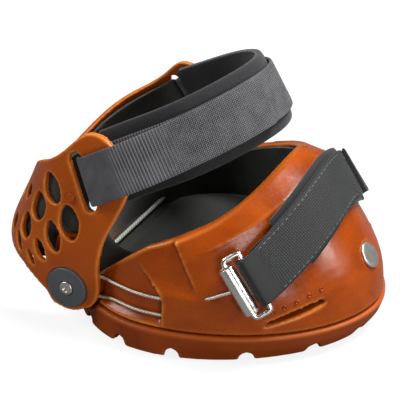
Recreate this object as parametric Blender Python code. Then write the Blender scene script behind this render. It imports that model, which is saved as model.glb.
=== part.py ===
"""Horse hoof boot: a moulded shell and tread, a swinging heel cup, cables and two webbing straps.

Metres, +Z up, +X towards the toe. The ground face is at Z = 0 and the boot is mirrored in Y.
The right side is the one at negative Y.
"""
import math

import bmesh
import bpy
import numpy as np
from mathutils import Matrix, Vector

MM = 0.001

# Clearances between pieces that touch, turn or slide
GAP = 0.3 * MM
HOLE_CLEARANCE = 0.3 * MM
CUT_OVERRUN = 6.0 * MM
PIVOT_SIZE = 10.0 * MM
TWIST_LIMIT = math.radians(0.05)
ANGLE_STEP = 1e-4
HEIGHT_STEP = 0.01 * MM
ROUTE_POINTS = 24
SHARP_ANGLE = math.radians(35)

# Colours and gloss of the finishes
ORANGE = (0.55, 0.14, 0.02)
ORANGE_DARK = (0.42, 0.09, 0.015)
BLACK = (0.03, 0.03, 0.032)
FOAM_BLACK = (0.025, 0.025, 0.027)
INSOLE_BLACK = (0.09, 0.09, 0.09)
STEEL = (0.72, 0.72, 0.70)
PLATED_STEEL = (0.78, 0.78, 0.78)
WIRE_GREY = (0.6, 0.6, 0.58)
SLEEVE_GREY = (0.5, 0.5, 0.47)
SLATE = (0.09, 0.1, 0.11)
ACETAL_BLACK = (0.05, 0.05, 0.05)
BRIGHT = 0.25
SATIN = 0.35
MATT = 0.5
CLOTH = 0.8

# Plan of the shell at its widest height, measured from the line across the widest part
WIDEST_X = -12.0 * MM
SHELL_FRONT_REACH = 100.0 * MM
SHELL_REAR_REACH = 64.0 * MM
SHELL_HALF_WIDTH = 75.0 * MM
TOE_X = WIDEST_X + SHELL_FRONT_REACH
HEEL_X = WIDEST_X - SHELL_REAR_REACH
FRONT_SQUARENESS = 1.85
REAR_SQUARENESS = 2.0
KNEE_HEIGHT = 32.0 * MM
KNEE_SOFTNESS = 5.0 * MM
TOE_ANGLE = math.radians(55)
SIDE_ANGLE = math.radians(72)
HEEL_ANGLE = math.radians(75)

# Tread sole
SOLE_THICKNESS = 15.0 * MM
SOLE_STEP_OUT = 1.5 * MM
SOLE_TOE_TUCK = 6.0 * MM
SOLE_SIDE_TUCK = 0.2 * MM
SOLE_MIDDLE_TUCK_SHARE = 0.33
SOLE_COLUMNS = 72
SOLE_EDGE_ROUND = 1.0 * MM
NOTCH_WIDTH = 8.0 * MM
NOTCH_HEIGHT = 5.5 * MM
NOTCH_DEPTH = 15.0 * MM
NOTCH_COUNT = 16
NOTCH_ARCH_POINTS = 6
TREAD_GROOVE_WIDTH = 6.0 * MM
TREAD_GROOVE_DEPTH = 3.5 * MM
TREAD_GROOVE_INSET = 27.0 * MM
TREAD_GROOVE_COLUMNS = 48

# Shell wall, rim and collar
SHELL_WALL = 8.5 * MM
SHELL_FLOOR = 3.0 * MM
FLOOR_TOP = SOLE_THICKNESS + GAP + SHELL_FLOOR
INNER_WALL_SHARES = (0.25, 0.6)
INNER_RIM_SHARE = 0.6
OUTER_WALL_SHARES = (0.35, 0.7, 1.0)
SHELL_COLUMNS = 64
BASE_ROUND = 1.5 * MM
HEEL_LIP_HEIGHT = 19.6 * MM
LIP_SOFTNESS = 2.5 * MM
RIM_SIDE_HEIGHT = 55.0 * MM
RIM_FRONT_RISE = 33.0 * MM
RIM_REAR_FALL = 36.0 * MM
RIM_REAR_CURVE = 24.0 * MM
RIM_WALL = 4.0 * MM
CREASE_SIDE_HEIGHT = 41.5 * MM
CREASE_FRONT_RISE = 42.0 * MM
CREASE_DROP = 4.0 * MM
CREASE_LOW_SHARE = 0.3
CREASE_STEP_SHARE = 0.08
COLLAR_RING_SHARES = (CREASE_STEP_SHARE, 0.5, 1.0)
COLLAR_START_SHARE = 0.05
COLLAR_STEP_SHARES = (0.25, 0.45)
COLLAR_LEAN = 13.0 * MM
COLLAR_STEP = 1.2 * MM

# Recessed wing behind the quarter boss, and the boss behind the front panel
WING_DEPTH = 4.5 * MM
BOSS_DEPTH = 1.2 * MM
WING_FLOOR_HEIGHT = 18.0 * MM
WING_REAR_SHARE = 0.88
BOSS_EDGE_FOOT_X = -0.5 * MM
BOSS_EDGE_TOP_X = -17.0 * MM
BOSS_CURVE_FOOT_HEIGHT = 30.0 * MM
BOSS_CURVE_TOP_HEIGHT = 49.0 * MM
PANEL_EDGE_FOOT_X = 28.5 * MM
PANEL_EDGE_TOP_X = 4.5 * MM
RIM_HEADROOM = 6.0 * MM
WING_ROWS = 11
WING_COLUMNS = 8
BOSS_COLUMNS = 5

# Slit in each side of the toe
SLIT_REAR_FROM_TOE = 43.5 * MM
SLIT_FRONT_FROM_TOE = 15.5 * MM
SLIT_REAR_X = TOE_X - SLIT_REAR_FROM_TOE
SLIT_FRONT_X = TOE_X - SLIT_FRONT_FROM_TOE
SLIT_REAR_HEIGHT = 20.0 * MM
SLIT_FRONT_HEIGHT = 30.5 * MM
SLIT_WIDTH = 3.6 * MM
SLIT_END_SHARE = 0.25
SLIT_COLUMNS = 9

# Toe rivet
RIVET_HEIGHT = 40.5 * MM
RIVET_HEAD_RADIUS = 6.9 * MM
RIVET_HEAD_THICKNESS = 1.6 * MM
RIVET_PROUD = 0.5 * MM
RIVET_SHANK_RADIUS = 2.2 * MM
WASHER_RADIUS = 6.0 * MM
WASHER_THICKNESS = 1.0 * MM
RIVET_TAIL_RADIUS = 3.4 * MM
RIVET_TAIL_THICKNESS = 1.2 * MM
WALL_HORIZONTAL_TO_NORMAL = math.sin(TOE_ANGLE)

# Linings
LINER_THICKNESS = 2.0 * MM
LINING_CLEARANCE = 0.5 * MM
INSOLE_THICKNESS = 4.0 * MM
INSOLE_CLEARANCE = 1.6 * MM
INSOLE_REAR_FROM_HEEL = 27.0 * MM
INSOLE_REAR_X = HEEL_X + INSOLE_REAR_FROM_HEEL

# Hub, on which the heel cup turns
HUB_FROM_HEEL = 20.0 * MM
HUB_X = HEEL_X + HUB_FROM_HEEL
HUB_HEIGHT = 23.0 * MM
SCREW_RADIUS = 2.0 * MM
SCREW_HEAD_RADIUS = 3.8 * MM
SCREW_HEAD_THICKNESS = 1.4 * MM
SCREW_SOCKET_RADIUS = 1.7 * MM
SCREW_SOCKET_DEPTH = 0.9 * MM
NUT_RADIUS = 4.4 * MM
NUT_THICKNESS = 3.0 * MM
NUT_SIDES = 6
HUB_INSET = 14.0 * MM
GUARD_INNER_Y = SHELL_HALF_WIDTH - HUB_INSET
GUARD_THICKNESS = 2.2 * MM
BUSH_SPACE = 4.0 * MM
BUSH_FLANGE = 0.55 * MM
BUSH_FLANGE_RADIUS = 8.6 * MM
BUSH_GROOVE_RADIUS = 6.0 * MM
DISC_RADIUS = 11.3 * MM
DISC_THICKNESS = 2.4 * MM
DISC_SEAT_DEPTH = 1.4 * MM
DISC_ROUND = 0.6 * MM
LOBE_RADIUS = 14.5 * MM
LOBE_CLEARANCE = 3.0 * MM
LOBE_ROOM_SIDES = 40
DISC_SIDES = 30
BUSH_SIDES = 20
SCREW_SIDES = 16
GUARD_ARM_HEIGHT = 50.0 * MM
GUARD_ARM_KNEE_HEIGHT = 41.0 * MM
GUARD_ARM_FRONT = 15.0 * MM
GUARD_ARM_REAR = 9.0 * MM
GUARD_ARM_ROUND = 3.0 * MM
GUARD_LOBE_START = math.radians(-205)
GUARD_LOBE_END = math.radians(25)
GUARD_LOBE_POINTS = 20

# Heel cup
CUP_HEIGHT = 105.5 * MM
CUP_CENTRE_BACK = 4.0 * MM
CUP_CENTRE_X = HUB_X - CUP_CENTRE_BACK
CUP_REACH = 52.5 * MM
CUP_BACK_HEIGHT = 38.0 * MM
CUP_BACK_SOFTNESS = 3.0 * MM
CUP_BACK_SLOPE = 0.4
CUP_COLUMNS = 43
CUP_ROWS = 8
CUP_FRONT_REACH = 200.0 * MM
CUP_WALL = 3.5 * MM
CUP_HALF_WIDTH = GUARD_INNER_Y + GUARD_THICKNESS + BUSH_SPACE + CUP_WALL
CUP_LEAN_HEIGHT = 41.0 * MM
CUP_LEAN_SOFTNESS = 3.0 * MM
CUP_LEAN_SLOPE = 0.29
CUP_LOW_SQUARENESS = 2.6
CUP_HIGH_SQUARENESS = 2.1
CUP_SHAPE_HEIGHT = 52.0 * MM
CUP_SHAPE_SOFTNESS = 6.0 * MM
# Front edge of the cup's wall: heights as shares of the cup's height and places ahead of its centre
CUP_FRONT_LENGTH = 35.0 * MM
CUP_FRONT_HEIGHT_SHARES = (0.095, 0.137, 0.184, 0.25, 0.345, 0.5, 0.616, 0.746, 0.833, 0.919, 0.998)
CUP_FRONT_LENGTH_SHARES = (0.343, 0.529, 0.606, 0.634, 0.614, 0.674, 0.849, 1.0, 0.954, 0.726, 0.48)
# Top and bottom edges by share of the way from the back to the front edge, as shares of the cup's height
CUP_TOP_SHARES = (0.0, 0.1, 0.2, 0.283, 0.4, 0.5, 0.564, 0.641, 0.8, 0.9, 1.0)
CUP_TOP_HEIGHT_SHARES = (0.464, 0.479, 0.521, 0.578, 0.668, 0.735, 0.768, 0.81, 0.929, 0.981, 1.0)
CUP_BOTTOM_SHARES = (0.0, 0.3, 0.512, 0.645, 0.759, 0.847, 0.92, 0.96, 1.0)
CUP_BOTTOM_HEIGHT_SHARES = (0.332, 0.328, 0.313, 0.265, 0.18, 0.104, 0.085, 0.095, 0.133)
WINDOW_POINTS = 8
LEAF_POWER = 1.15
# Windows: angle from the toe, height, width, length and lean. The angle and the lean are shares of a half
# turn, the rest are shares of the cup's height.
WINDOW_SHARES = (
    (0.548, 0.687, 0.100, 0.166, 0.233),
    (0.482, 0.551, 0.104, 0.175, 0.100),
    (0.587, 0.576, 0.114, 0.142, 0.144),
    (0.523, 0.467, 0.081, 0.161, 0.122),
    (0.669, 0.583, 0.081, 0.081, 0.144),
    (0.619, 0.461, 0.090, 0.133, 0.167),
    (0.557, 0.382, 0.057, 0.118, 0.156),
    (0.636, 0.365, 0.047, 0.104, 0.167),
    (0.586, 0.318, 0.038, 0.085, 0.156),
    (0.733, 0.550, 0.076, 0.133, 0.144),
    (0.692, 0.412, 0.076, 0.100, 0.144),
    (0.783, 0.460, 0.081, 0.142, 0.144),
    (0.856, 0.436, 0.081, 0.118, 0.144),
    (0.925, 0.412, 0.071, 0.081, 0.144),
)
STUD_ANGLE = math.radians(86.8)
STUD_HEIGHT = 70.8 * MM
STUD_RADIUS = 2.4 * MM
STUD_HEAD_THICKNESS = 1.0 * MM
STUD_SHANK_RADIUS = 1.3 * MM
STUD_ROUND = 0.33 * MM
STUD_SIDES = 10
CUP_LINER_THICKNESS = 3.0 * MM
LINER_CLEARANCE = 0.6 * MM
CUP_LINER_SHARES = (0.0, 0.2, 0.4, 0.6, 0.7, 0.76, 0.83, 0.87, 0.95)
CUP_LINER_FLOOR_SHARES = (0.351, 0.346, 0.332, 0.294, 0.275, 0.27, 0.275, 0.322, 0.445)
CUP_LINER_TOP_SHARES = (0.441, 0.493, 0.626, 0.701, 0.73, 0.73, 0.72, 0.616, 0.588)
CUP_LINER_DROP = 10.0 * MM
CUP_LINER_LOW_HEIGHT = 40.0 * MM
CUP_LINER_HIGH_HEIGHT = 56.0 * MM
CUP_LINER_COLUMNS = 31
CUP_LINER_ROWS = 6

# Webbing
WEB_WIDTH = 25.4 * MM
WEB_THICKNESS = 1.8 * MM
STITCH_GAP = 0.3 * MM

# Pastern strap, through the slots in the heel cup's ears, in a plane tilted up towards the toe
STRAP_TILT = math.radians(28)
PASTERN_AXIS_AHEAD = 13.6 * MM
PASTERN_AXIS_X = CUP_CENTRE_X + PASTERN_AXIS_AHEAD
PASTERN_AXIS_HEIGHT = 81.6 * MM
PASTERN_REACH = 83.0 * MM
PASTERN_SQUARENESS = 1.85
PASTERN_STEP_SHARE = 0.004
PASTERN_FOLD_RADIUS = 3.1 * MM
PASTERN_EAR_LENGTH = 19.0 * MM
PASTERN_MERGE_LENGTH = 58.0 * MM
PASTERN_LOOP_LENGTH = 62.0 * MM
PASTERN_FLAP_END_SHARE = 0.13
PASTERN_FLAP_CLEARANCE = 0.8 * MM
PASTERN_TAIL_TURN = math.radians(120)
PASTERN_HALF_POINTS = 18
PASTERN_LOOP_POINTS = 36
PASTERN_FLAP_POINTS = 17
FOLD_POINTS = 9
PASTERN_PAD_THICKNESS = 5.0 * MM
PASTERN_PAD_WIDTH = 38.0 * MM
PAD_CLEARANCE = 0.7 * MM
PASTERN_PAD_START = 4.0 * MM
EAR_SLOT_WIDTH = 7.0 * MM
EAR_SLOT_LENGTH = 31.5 * MM
EAR_SLOT_SHIFT = 5.05 * MM
EAR_SLOT_END_POINTS = 7

# Toe strap, its buckles and the cables that draw it down
BUCKLE_FROM_TOE = 52.9 * MM
BUCKLE_HEIGHT = 41.5 * MM
BUCKLE_STAND_OFF = 5.45 * MM
BUCKLE_LEAN = math.radians(34)
TUBE_LENGTH = 26.0 * MM
TUBE_RADIUS = 4.0 * MM
TUBE_WALL = 1.7 * MM
RING_WIRE_RADIUS = 1.5 * MM
RING_REACH = 9.0 * MM
RING_PLUG = 5.0 * MM
RING_BEND = 3.6 * MM
RING_END_SHARE = 0.4
RING_CORNER_SHARE = 0.25
RING_BULGE_SHARE = 0.1
RING_INNER_SHARE = 0.2
RING_STEP = 3.4 * MM
TUBE_ROUND = 0.4 * MM
TUBE_SIDES = 20
FOOT_STEPS = 12
TOE_CROWN_RISE = 4.5 * MM
TOE_TAIL_TURN = math.radians(200)
TOE_BAR_SHARES = (1.0, 0.98)
TOE_STRAP_POINTS = 37
TOE_PAD_POINTS = 23
TOE_LOOP_POINTS = 12
TOE_FLAP_POINTS = 22
TOE_FOLD_RADIUS = 1.9 * MM
TOE_PATH_POWER = 1.8
TOE_MERGE_SHARE = 0.74
TOE_PAD_SHARE = 0.7
TOE_LOOP_SHARE = 0.42
TOE_FLAP_SHARE = 0.17
TOE_STRAP_END_SHARE = 0.955
TOE_PAD_THICKNESS = 2.6 * MM
TOE_PAD_WIDTH = 31.0 * MM
CABLE_RADIUS = 0.75 * MM
CABLE_STEP = 3.0 * MM
CABLE_TUNNEL_RADIUS = 1.15 * MM
TUNNEL_SIDES = 10
TUNNEL_STEP = 6.0 * MM
TUNNEL_REAR_SHARE = 0.3
TUNNEL_FRONT_SHARE = 0.35
WING_CABLE_SHARES = (0.4, 0.8)
WRAP_START = math.radians(80)
WRAP_END = math.radians(280)
WRAP_POINTS = 11
PORT_DEPTH = 2.6 * MM
CABLE_EXIT_AHEAD = 18.0 * MM
CABLE_EXIT_X = HUB_X + CABLE_EXIT_AHEAD
UPPER_PORT_HEIGHT = 31.3 * MM
LOWER_PORT_HEIGHT = 22.0 * MM
FRONT_PORT_X = 22.3 * MM
FRONT_PORT_HEIGHT = 35.5 * MM
HEEL_CABLE_RADIUS = 1.2 * MM
STOP_RADIUS = 1.9 * MM
STOP_LENGTH = 4.0 * MM
STOP_BODY_LENGTH = 3.2 * MM
STOP_ROUND = 0.6 * MM
FERRULE_RADIUS = 1.7 * MM
FERRULE_LENGTH = 9.0 * MM
SMALL_SIDES = 12
HEEL_CABLE_POINTS = 5


def clear_scene():
    """Empties the scene the script starts in."""
    for thing in list(bpy.data.objects):
        bpy.data.objects.remove(thing, do_unlink=True)


def finish(name, colour, roughness, metallic=0.0):
    """A plain coloured material."""
    material = bpy.data.materials.get(name)
    if material is None:
        material = bpy.data.materials.new(name)
        material.use_nodes = True
        shader = material.node_tree.nodes["Principled BSDF"]
        shader.inputs["Base Color"].default_value = (*colour, 1.0)
        shader.inputs["Roughness"].default_value = roughness
        shader.inputs["Metallic"].default_value = metallic
    return material


def softplus(value, softness):
    """Zero below zero and straight above it, with a rounded corner of the given size."""
    return softness * np.logaddexp(0.0, value / softness)


def smoothstep(value, low, high):
    """Rises smoothly from 0 at low to 1 at high."""
    share = np.clip((value - low) / (high - low), 0.0, 1.0)
    return share * share * (3.0 - 2.0 * share)


# Objects from rings of points

def world_place(pivot):
    """Where a pivot stands, through any pivots that carry it."""
    place = Vector((0.0, 0.0, 0.0))
    while pivot is not None:
        place = place + pivot.location
        pivot = pivot.parent
    return place


def new_pivot(name, place, parent=None):
    """An empty on a joint's axis, which carries the pieces that turn about it."""
    empty = bpy.data.objects.new(name, None)
    empty.empty_display_size = PIVOT_SIZE
    empty.location = Vector(place) - world_place(parent)
    empty.parent = parent
    bpy.context.scene.collection.objects.link(empty)
    return empty


def new_object(name, mesh, material, parent=None):
    """Puts a mesh in the scene, with its points taken relative to its parent's place."""
    mesh.materials.append(material)
    mesh.transform(Matrix.Translation(-world_place(parent)))
    body = bpy.data.objects.new(name, mesh)
    body.parent = parent
    bpy.context.scene.collection.objects.link(body)
    return body


def shade(mesh):
    """Smooth shading with sharp edges above an angle."""
    mesh.shade_smooth()
    mesh.set_sharp_from_angle(angle=SHARP_ANGLE)


def mesh_from_bmesh(name, work):
    """Splits twisted quads, turns faces outward and keeps the mesh."""
    quads = [face for face in work.faces if len(face.verts) == 4]
    bmesh.ops.connect_verts_nonplanar(work, angle_limit=TWIST_LIMIT, faces=quads)
    bmesh.ops.recalc_face_normals(work, faces=work.faces)
    mesh = bpy.data.meshes.new(name)
    work.to_mesh(mesh)
    work.free()
    shade(mesh)
    return mesh


def loft(name, rings, closed_round=True, caps=True, wrap_ends=False):
    """A solid skinned over rings of points, each an array of shape (points, 3)."""
    work = bmesh.new()
    rows = [[work.verts.new(point) for point in ring] for ring in rings]
    count = len(rows[0])
    last = count if closed_round else count - 1
    pairs = list(zip(rows[:-1], rows[1:]))
    if wrap_ends:
        pairs.append((rows[-1], rows[0]))
    for low, high in pairs:
        for step in range(last):
            after = (step + 1) % count
            work.faces.new((low[step], low[after], high[after], high[step]))
    if caps and not wrap_ends:
        work.faces.new(rows[0])
        work.faces.new(rows[-1])
    return mesh_from_bmesh(name, work)


def slab(name, outer, inner):
    """A curved sheet with thickness, from its outer and inner grids of shape (rows, columns, 3)."""
    work = bmesh.new()
    near = [[work.verts.new(point) for point in row] for row in outer]
    far = [[work.verts.new(point) for point in row] for row in inner]
    rows = len(near)
    columns = len(near[0])
    for grid in (near, far):
        for low, high in zip(grid[:-1], grid[1:]):
            for step in range(columns - 1):
                work.faces.new((low[step], low[step + 1], high[step + 1], high[step]))
    for row in (0, rows - 1):
        for step in range(columns - 1):
            work.faces.new((near[row][step], near[row][step + 1], far[row][step + 1], far[row][step]))
    for column in (0, columns - 1):
        for step in range(rows - 1):
            edge = (near[step][column], near[step + 1][column], far[step + 1][column], far[step][column])
            work.faces.new(edge)
    return mesh_from_bmesh(name, work)


def turned(profile, segments):
    """Rings turned about Z from (radius, height) points."""
    angles = np.linspace(0.0, math.tau, segments, endpoint=False)
    rings = []
    for radius, height in profile:
        ring = np.stack([radius * np.cos(angles), radius * np.sin(angles), np.full(segments, height)], axis=1)
        rings.append(ring)
    return rings


def along(direction):
    """A rotation that takes +Z to the direction."""
    return Vector(direction).to_track_quat("Z", "Y").to_matrix().to_4x4()


def solid_of_turn(name, profile, place, direction, segments=TUBE_SIDES, bore=False):
    """A turned mesh put at a place with its axis along a direction."""
    rings = turned(profile, segments)
    mesh = loft(name, rings, caps=not bore, wrap_ends=bore)
    mesh.transform(Matrix.Translation(Vector(place)) @ along(direction))
    return mesh


def rod_profile(radius, low, high, edge=0.0):
    """The outline of a plain rod, with chamfered ends if an edge is given."""
    if edge <= 0.0:
        return [(radius, low), (radius, high)]
    return [(radius - edge, low), (radius, low + edge), (radius, high - edge), (radius - edge, high)]


def tube_curve(name, points, radius, resolution, material, parent=None):
    """A round cable along points, as a curve with filled caps."""
    curve = bpy.data.curves.new(name, "CURVE")
    curve.dimensions = "3D"
    curve.bevel_depth = radius
    curve.bevel_resolution = resolution
    curve.use_fill_caps = True
    spline = curve.splines.new("POLY")
    spline.points.add(len(points) - 1)
    for spot, point in zip(spline.points, points):
        spot.co = (*point, 1.0)
    curve.materials.append(material)
    curve.transform(Matrix.Translation(-world_place(parent)))
    body = bpy.data.objects.new(name, curve)
    body.parent = parent
    bpy.context.scene.collection.objects.link(body)
    return body


def tube_mesh(name, points, radius, sides):
    """A round tube mesh along points, with its section carried without twist."""
    path = np.asarray(points, dtype=float)
    tangents = np.gradient(path, axis=0)
    tangents = tangents / np.linalg.norm(tangents, axis=1, keepdims=True)
    side = np.cross(tangents[0], [0.0, 0.0, 1.0])
    turns = np.linspace(0.0, math.tau, sides, endpoint=False)[:, None]
    rings = []
    for point, tangent in zip(path, tangents):
        side = side - tangent * side.dot(tangent)
        side = side / np.linalg.norm(side)
        other = np.cross(tangent, side)
        rings.append(point + radius * (np.cos(turns) * side + np.sin(turns) * other))
    return loft(name, rings)


def smooth_route(points, step):
    """Points at an even step along a Catmull-Rom curve through the route's own points."""
    route = np.asarray(points, dtype=float)
    ends = np.vstack([2 * route[0] - route[1], route, 2 * route[-1] - route[-2]])
    dense = []
    for before, here, there, beyond in zip(ends[:-3], ends[1:-2], ends[2:-1], ends[3:]):
        t = np.linspace(0.0, 1.0, ROUTE_POINTS, endpoint=False)[:, None]
        bend = 2 * here + (there - before) * t
        bend = bend + (2 * before - 5 * here + 4 * there - beyond) * t ** 2
        bend = bend + (3 * here - before - 3 * there + beyond) * t ** 3
        dense.append(bend / 2)
    dense = np.vstack(dense + [route[-1:]])
    lengths = np.concatenate([[0.0], np.cumsum(np.linalg.norm(np.diff(dense, axis=0), axis=1))])
    count = max(2, int(round(lengths[-1] / step)) + 1)
    even = np.linspace(0.0, lengths[-1], count)
    return np.stack([np.interp(even, lengths, dense[:, axis]) for axis in range(3)], axis=1)


def cut(body, meshes):
    """Cuts closed meshes out of a solid, in one Boolean over a collection of hidden cutters."""
    cutters = bpy.data.collections.new(f"{body.name}_cutters")
    bpy.context.scene.collection.children.link(cutters)
    for index, mesh in enumerate(meshes):
        cutter = bpy.data.objects.new(f"{body.name}_cutter_{index}", mesh)
        cutter.hide_render = True
        cutter.display_type = "WIRE"
        mesh.transform(Matrix.Translation(-world_place(body.parent)))
        cutter.parent = body.parent
        cutters.objects.link(cutter)
    modifier = body.modifiers.new(cutters.name, "BOOLEAN")
    modifier.operation = "DIFFERENCE"
    modifier.solver = "EXACT"
    modifier.operand_type = "COLLECTION"
    modifier.collection = cutters


# The shell's outer surface

def reaches(height, inset):
    """Front reach, rear reach and half width of the shell's plan at a height."""
    lean = softplus(height - KNEE_HEIGHT, KNEE_SOFTNESS)
    front = SHELL_FRONT_REACH - lean / math.tan(TOE_ANGLE) - inset
    rear = SHELL_REAR_REACH - lean / math.tan(HEEL_ANGLE) - inset
    side = SHELL_HALF_WIDTH - lean / math.tan(SIDE_ANGLE) - inset
    return front, rear, side


def plan_point(angle, height, inset=0.0):
    """A point of the shell's surface: angle 0 is the toe and a positive angle is on the left."""
    front, rear, side = reaches(height, inset)
    cosine = np.cos(angle)
    sine = np.sin(angle)
    forward = cosine >= 0.0
    power = 2.0 / np.where(forward, FRONT_SQUARENESS, REAR_SQUARENESS)
    reach = np.where(forward, front, rear)
    x = WIDEST_X + reach * np.sign(cosine) * np.abs(cosine) ** power
    y = side * np.sign(sine) * np.abs(sine) ** power
    return np.stack([x, y, np.broadcast_to(height, np.shape(x))], axis=-1)


def angle_at(x, height, inset=0.0):
    """The surface angle, on the left side, of the point with this X at this height."""
    front, rear, _ = reaches(height, inset)
    ahead = x >= WIDEST_X
    reach = np.where(ahead, front, rear)
    squareness = np.where(ahead, FRONT_SQUARENESS, REAR_SQUARENESS)
    share = np.clip(np.abs(x - WIDEST_X) / reach, 0.0, 1.0) ** (squareness / 2.0)
    return np.arccos(np.where(ahead, share, -share))


def forward_share(angle):
    """How far forward a surface angle lies: 1 at the toe, 0 at the widest line, -1 at the heel."""
    cosine = np.cos(angle)
    power = 2.0 / np.where(cosine >= 0.0, FRONT_SQUARENESS, REAR_SQUARENESS)
    return np.sign(cosine) * np.abs(cosine) ** power


def rim_height(angle):
    """Height of the shell's rim: high at the toe, low at the heel."""
    share = forward_share(angle)
    ahead = RIM_SIDE_HEIGHT + RIM_FRONT_RISE * share
    behind = RIM_SIDE_HEIGHT + RIM_REAR_FALL * share - RIM_REAR_CURVE * share ** 2
    line = np.where(share > 0.0, ahead, behind)
    return HEEL_LIP_HEIGHT + softplus(line - HEEL_LIP_HEIGHT, LIP_SOFTNESS)


def crease_height(angle):
    """Height of the crease under the collar, kept under the rim."""
    line = CREASE_SIDE_HEIGHT + CREASE_FRONT_RISE * forward_share(angle)
    rim = rim_height(angle)
    room = rim - FLOOR_TOP
    return np.clip(line, FLOOR_TOP + room * CREASE_LOW_SHARE, rim - np.minimum(CREASE_DROP, room / 2.0))


def collar_share(angle):
    """How much of a collar there is: all at the toe, none behind the quarters."""
    return smoothstep(forward_share(angle), COLLAR_START_SHARE, 1.0)


def outer_inset(angle, height):
    """Extra inset of the surface above the crease, where the collar leans in."""
    crease = crease_height(angle)
    rise = np.clip((height - crease) / (rim_height(angle) - crease), 0.0, 1.0)
    lean = COLLAR_LEAN * collar_share(angle) * rise
    step = COLLAR_STEP * smoothstep(forward_share(angle), *COLLAR_STEP_SHARES)
    return lean - step * smoothstep(rise, 0.0, CREASE_STEP_SHARE)


def wall_thickness(angle, height):
    """Thickness of the wall, thinner towards the collar's rim."""
    crease = crease_height(angle)
    rise = np.clip((height - crease) / (rim_height(angle) - crease), 0.0, 1.0)
    return SHELL_WALL - (SHELL_WALL - RIM_WALL) * collar_share(angle) * rise


def shell_point(angle, height, depth=0.0):
    """A point at a depth under the shell's outer surface, measured level."""
    return plan_point(angle, height, outer_inset(angle, height) + depth)


def shell_normal(angle, height):
    """Outward normal of the main wall under the collar."""
    across = plan_point(angle + ANGLE_STEP, height) - plan_point(angle - ANGLE_STEP, height)
    upward = plan_point(angle, height + HEIGHT_STEP) - plan_point(angle, height - HEIGHT_STEP)
    normal = np.cross(across, upward)
    return normal / np.linalg.norm(normal, axis=-1, keepdims=True)


def mirrored(points, side):
    """Points of the left side put on the left or right side."""
    return np.asarray(points) * np.array([1.0, side, 1.0])


SIDES = (("right", -1.0), ("left", 1.0))


def hoof_outline_angles(count):
    """Evenly shared surface angles round the boot."""
    return np.linspace(-math.pi, math.pi, count, endpoint=False)


def build_tread_sole():
    """The tread: a thick outline with a tucked toe, arched notches and one ring groove."""
    angles = hoof_outline_angles(SOLE_COLUMNS)
    toe = smoothstep(forward_share(angles), 0.0, 1.0)
    tuck = SOLE_SIDE_TUCK + SOLE_TOE_TUCK * toe
    top = SOLE_THICKNESS
    levels = (
        (0.0, tuck + SOLE_EDGE_ROUND - SOLE_STEP_OUT),
        (SOLE_EDGE_ROUND, tuck - SOLE_STEP_OUT),
        (top / 2.0, tuck * SOLE_MIDDLE_TUCK_SHARE - SOLE_STEP_OUT),
        (top - SOLE_EDGE_ROUND, -SOLE_STEP_OUT),
        (top, SOLE_EDGE_ROUND - SOLE_STEP_OUT),
    )
    rings = []
    for height, inset in levels:
        ring = plan_point(angles, np.full_like(angles, SOLE_THICKNESS), inset)
        ring[:, 2] = height
        rings.append(ring)
    mesh = loft("tread_sole", rings)
    sole = new_object("tread_sole", mesh, finish("tread_rubber", ORANGE_DARK, MATT))
    cut(sole, [groove_cutter(), *notch_cutters(), *lobe_rooms()])
    return sole


def notch_cutters():
    """Arched notches round the sole's edge, each running inward under the tread."""
    meshes = []
    arch = np.linspace(0.0, math.pi, NOTCH_ARCH_POINTS)
    for index in range(NOTCH_COUNT):
        angle = (index + 0.5) * math.tau / NOTCH_COUNT
        edge = plan_point(np.array([angle]), np.array([SOLE_THICKNESS]))[0]
        near = plan_point(np.array([angle + ANGLE_STEP]), np.array([SOLE_THICKNESS]))[0]
        tangent = (near - edge) / np.linalg.norm(near - edge)
        inward = np.cross([0.0, 0.0, 1.0], tangent)
        rings = []
        for depth in (-CUT_OVERRUN, NOTCH_DEPTH):
            ring = [edge + inward * depth + tangent * (NOTCH_WIDTH / 2.0) * side for side in (1.0, -1.0)]
            ring = [point * np.array([1.0, 1.0, 0.0]) - np.array([0.0, 0.0, CUT_OVERRUN]) for point in ring]
            crown = [
                (edge + inward * depth) * np.array([1.0, 1.0, 0.0])
                - tangent * (NOTCH_WIDTH / 2.0) * math.cos(turn)
                + np.array([0.0, 0.0, NOTCH_HEIGHT * math.sin(turn)])
                for turn in arch
            ]
            rings.append(np.array(ring + crown))
        meshes.append(loft("notch", rings))
    return meshes


def groove_cutter():
    """A ring groove in the ground face, following the sole's outline."""
    angles = hoof_outline_angles(TREAD_GROOVE_COLUMNS)
    rings = []
    for inset, height in (
        (TREAD_GROOVE_INSET, -CUT_OVERRUN),
        (TREAD_GROOVE_INSET, TREAD_GROOVE_DEPTH),
        (TREAD_GROOVE_INSET + TREAD_GROOVE_WIDTH, TREAD_GROOVE_DEPTH),
        (TREAD_GROOVE_INSET + TREAD_GROOVE_WIDTH, -CUT_OVERRUN),
    ):
        ring = plan_point(angles, np.full_like(angles, SOLE_THICKNESS), inset)
        ring[:, 2] = height
        rings.append(ring)
    return loft("tread_groove_cutter", rings, wrap_ends=True)


def lobe_rooms():
    """Room beside the heel for the heel cup's round lobes to turn in."""
    meshes = []
    for _, side in SIDES:
        profile = rod_profile(LOBE_RADIUS + LOBE_CLEARANCE, 0.0, CUP_HALF_WIDTH)
        place = (HUB_X, side * (GUARD_INNER_Y - GAP), HUB_HEIGHT)
        meshes.append(solid_of_turn("lobe_room", profile, place, (0.0, side, 0.0), LOBE_ROOM_SIDES))
    return meshes


def inner_levels(angles):
    """Heights of the rows of the shell's inside, which its lining follows."""
    rim = rim_height(angles)
    crease = crease_height(angles)
    wall = [FLOOR_TOP + (crease - FLOOR_TOP) * share for share in INNER_WALL_SHARES]
    return wall + [crease, crease + (rim - crease) * INNER_RIM_SHARE]


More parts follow.
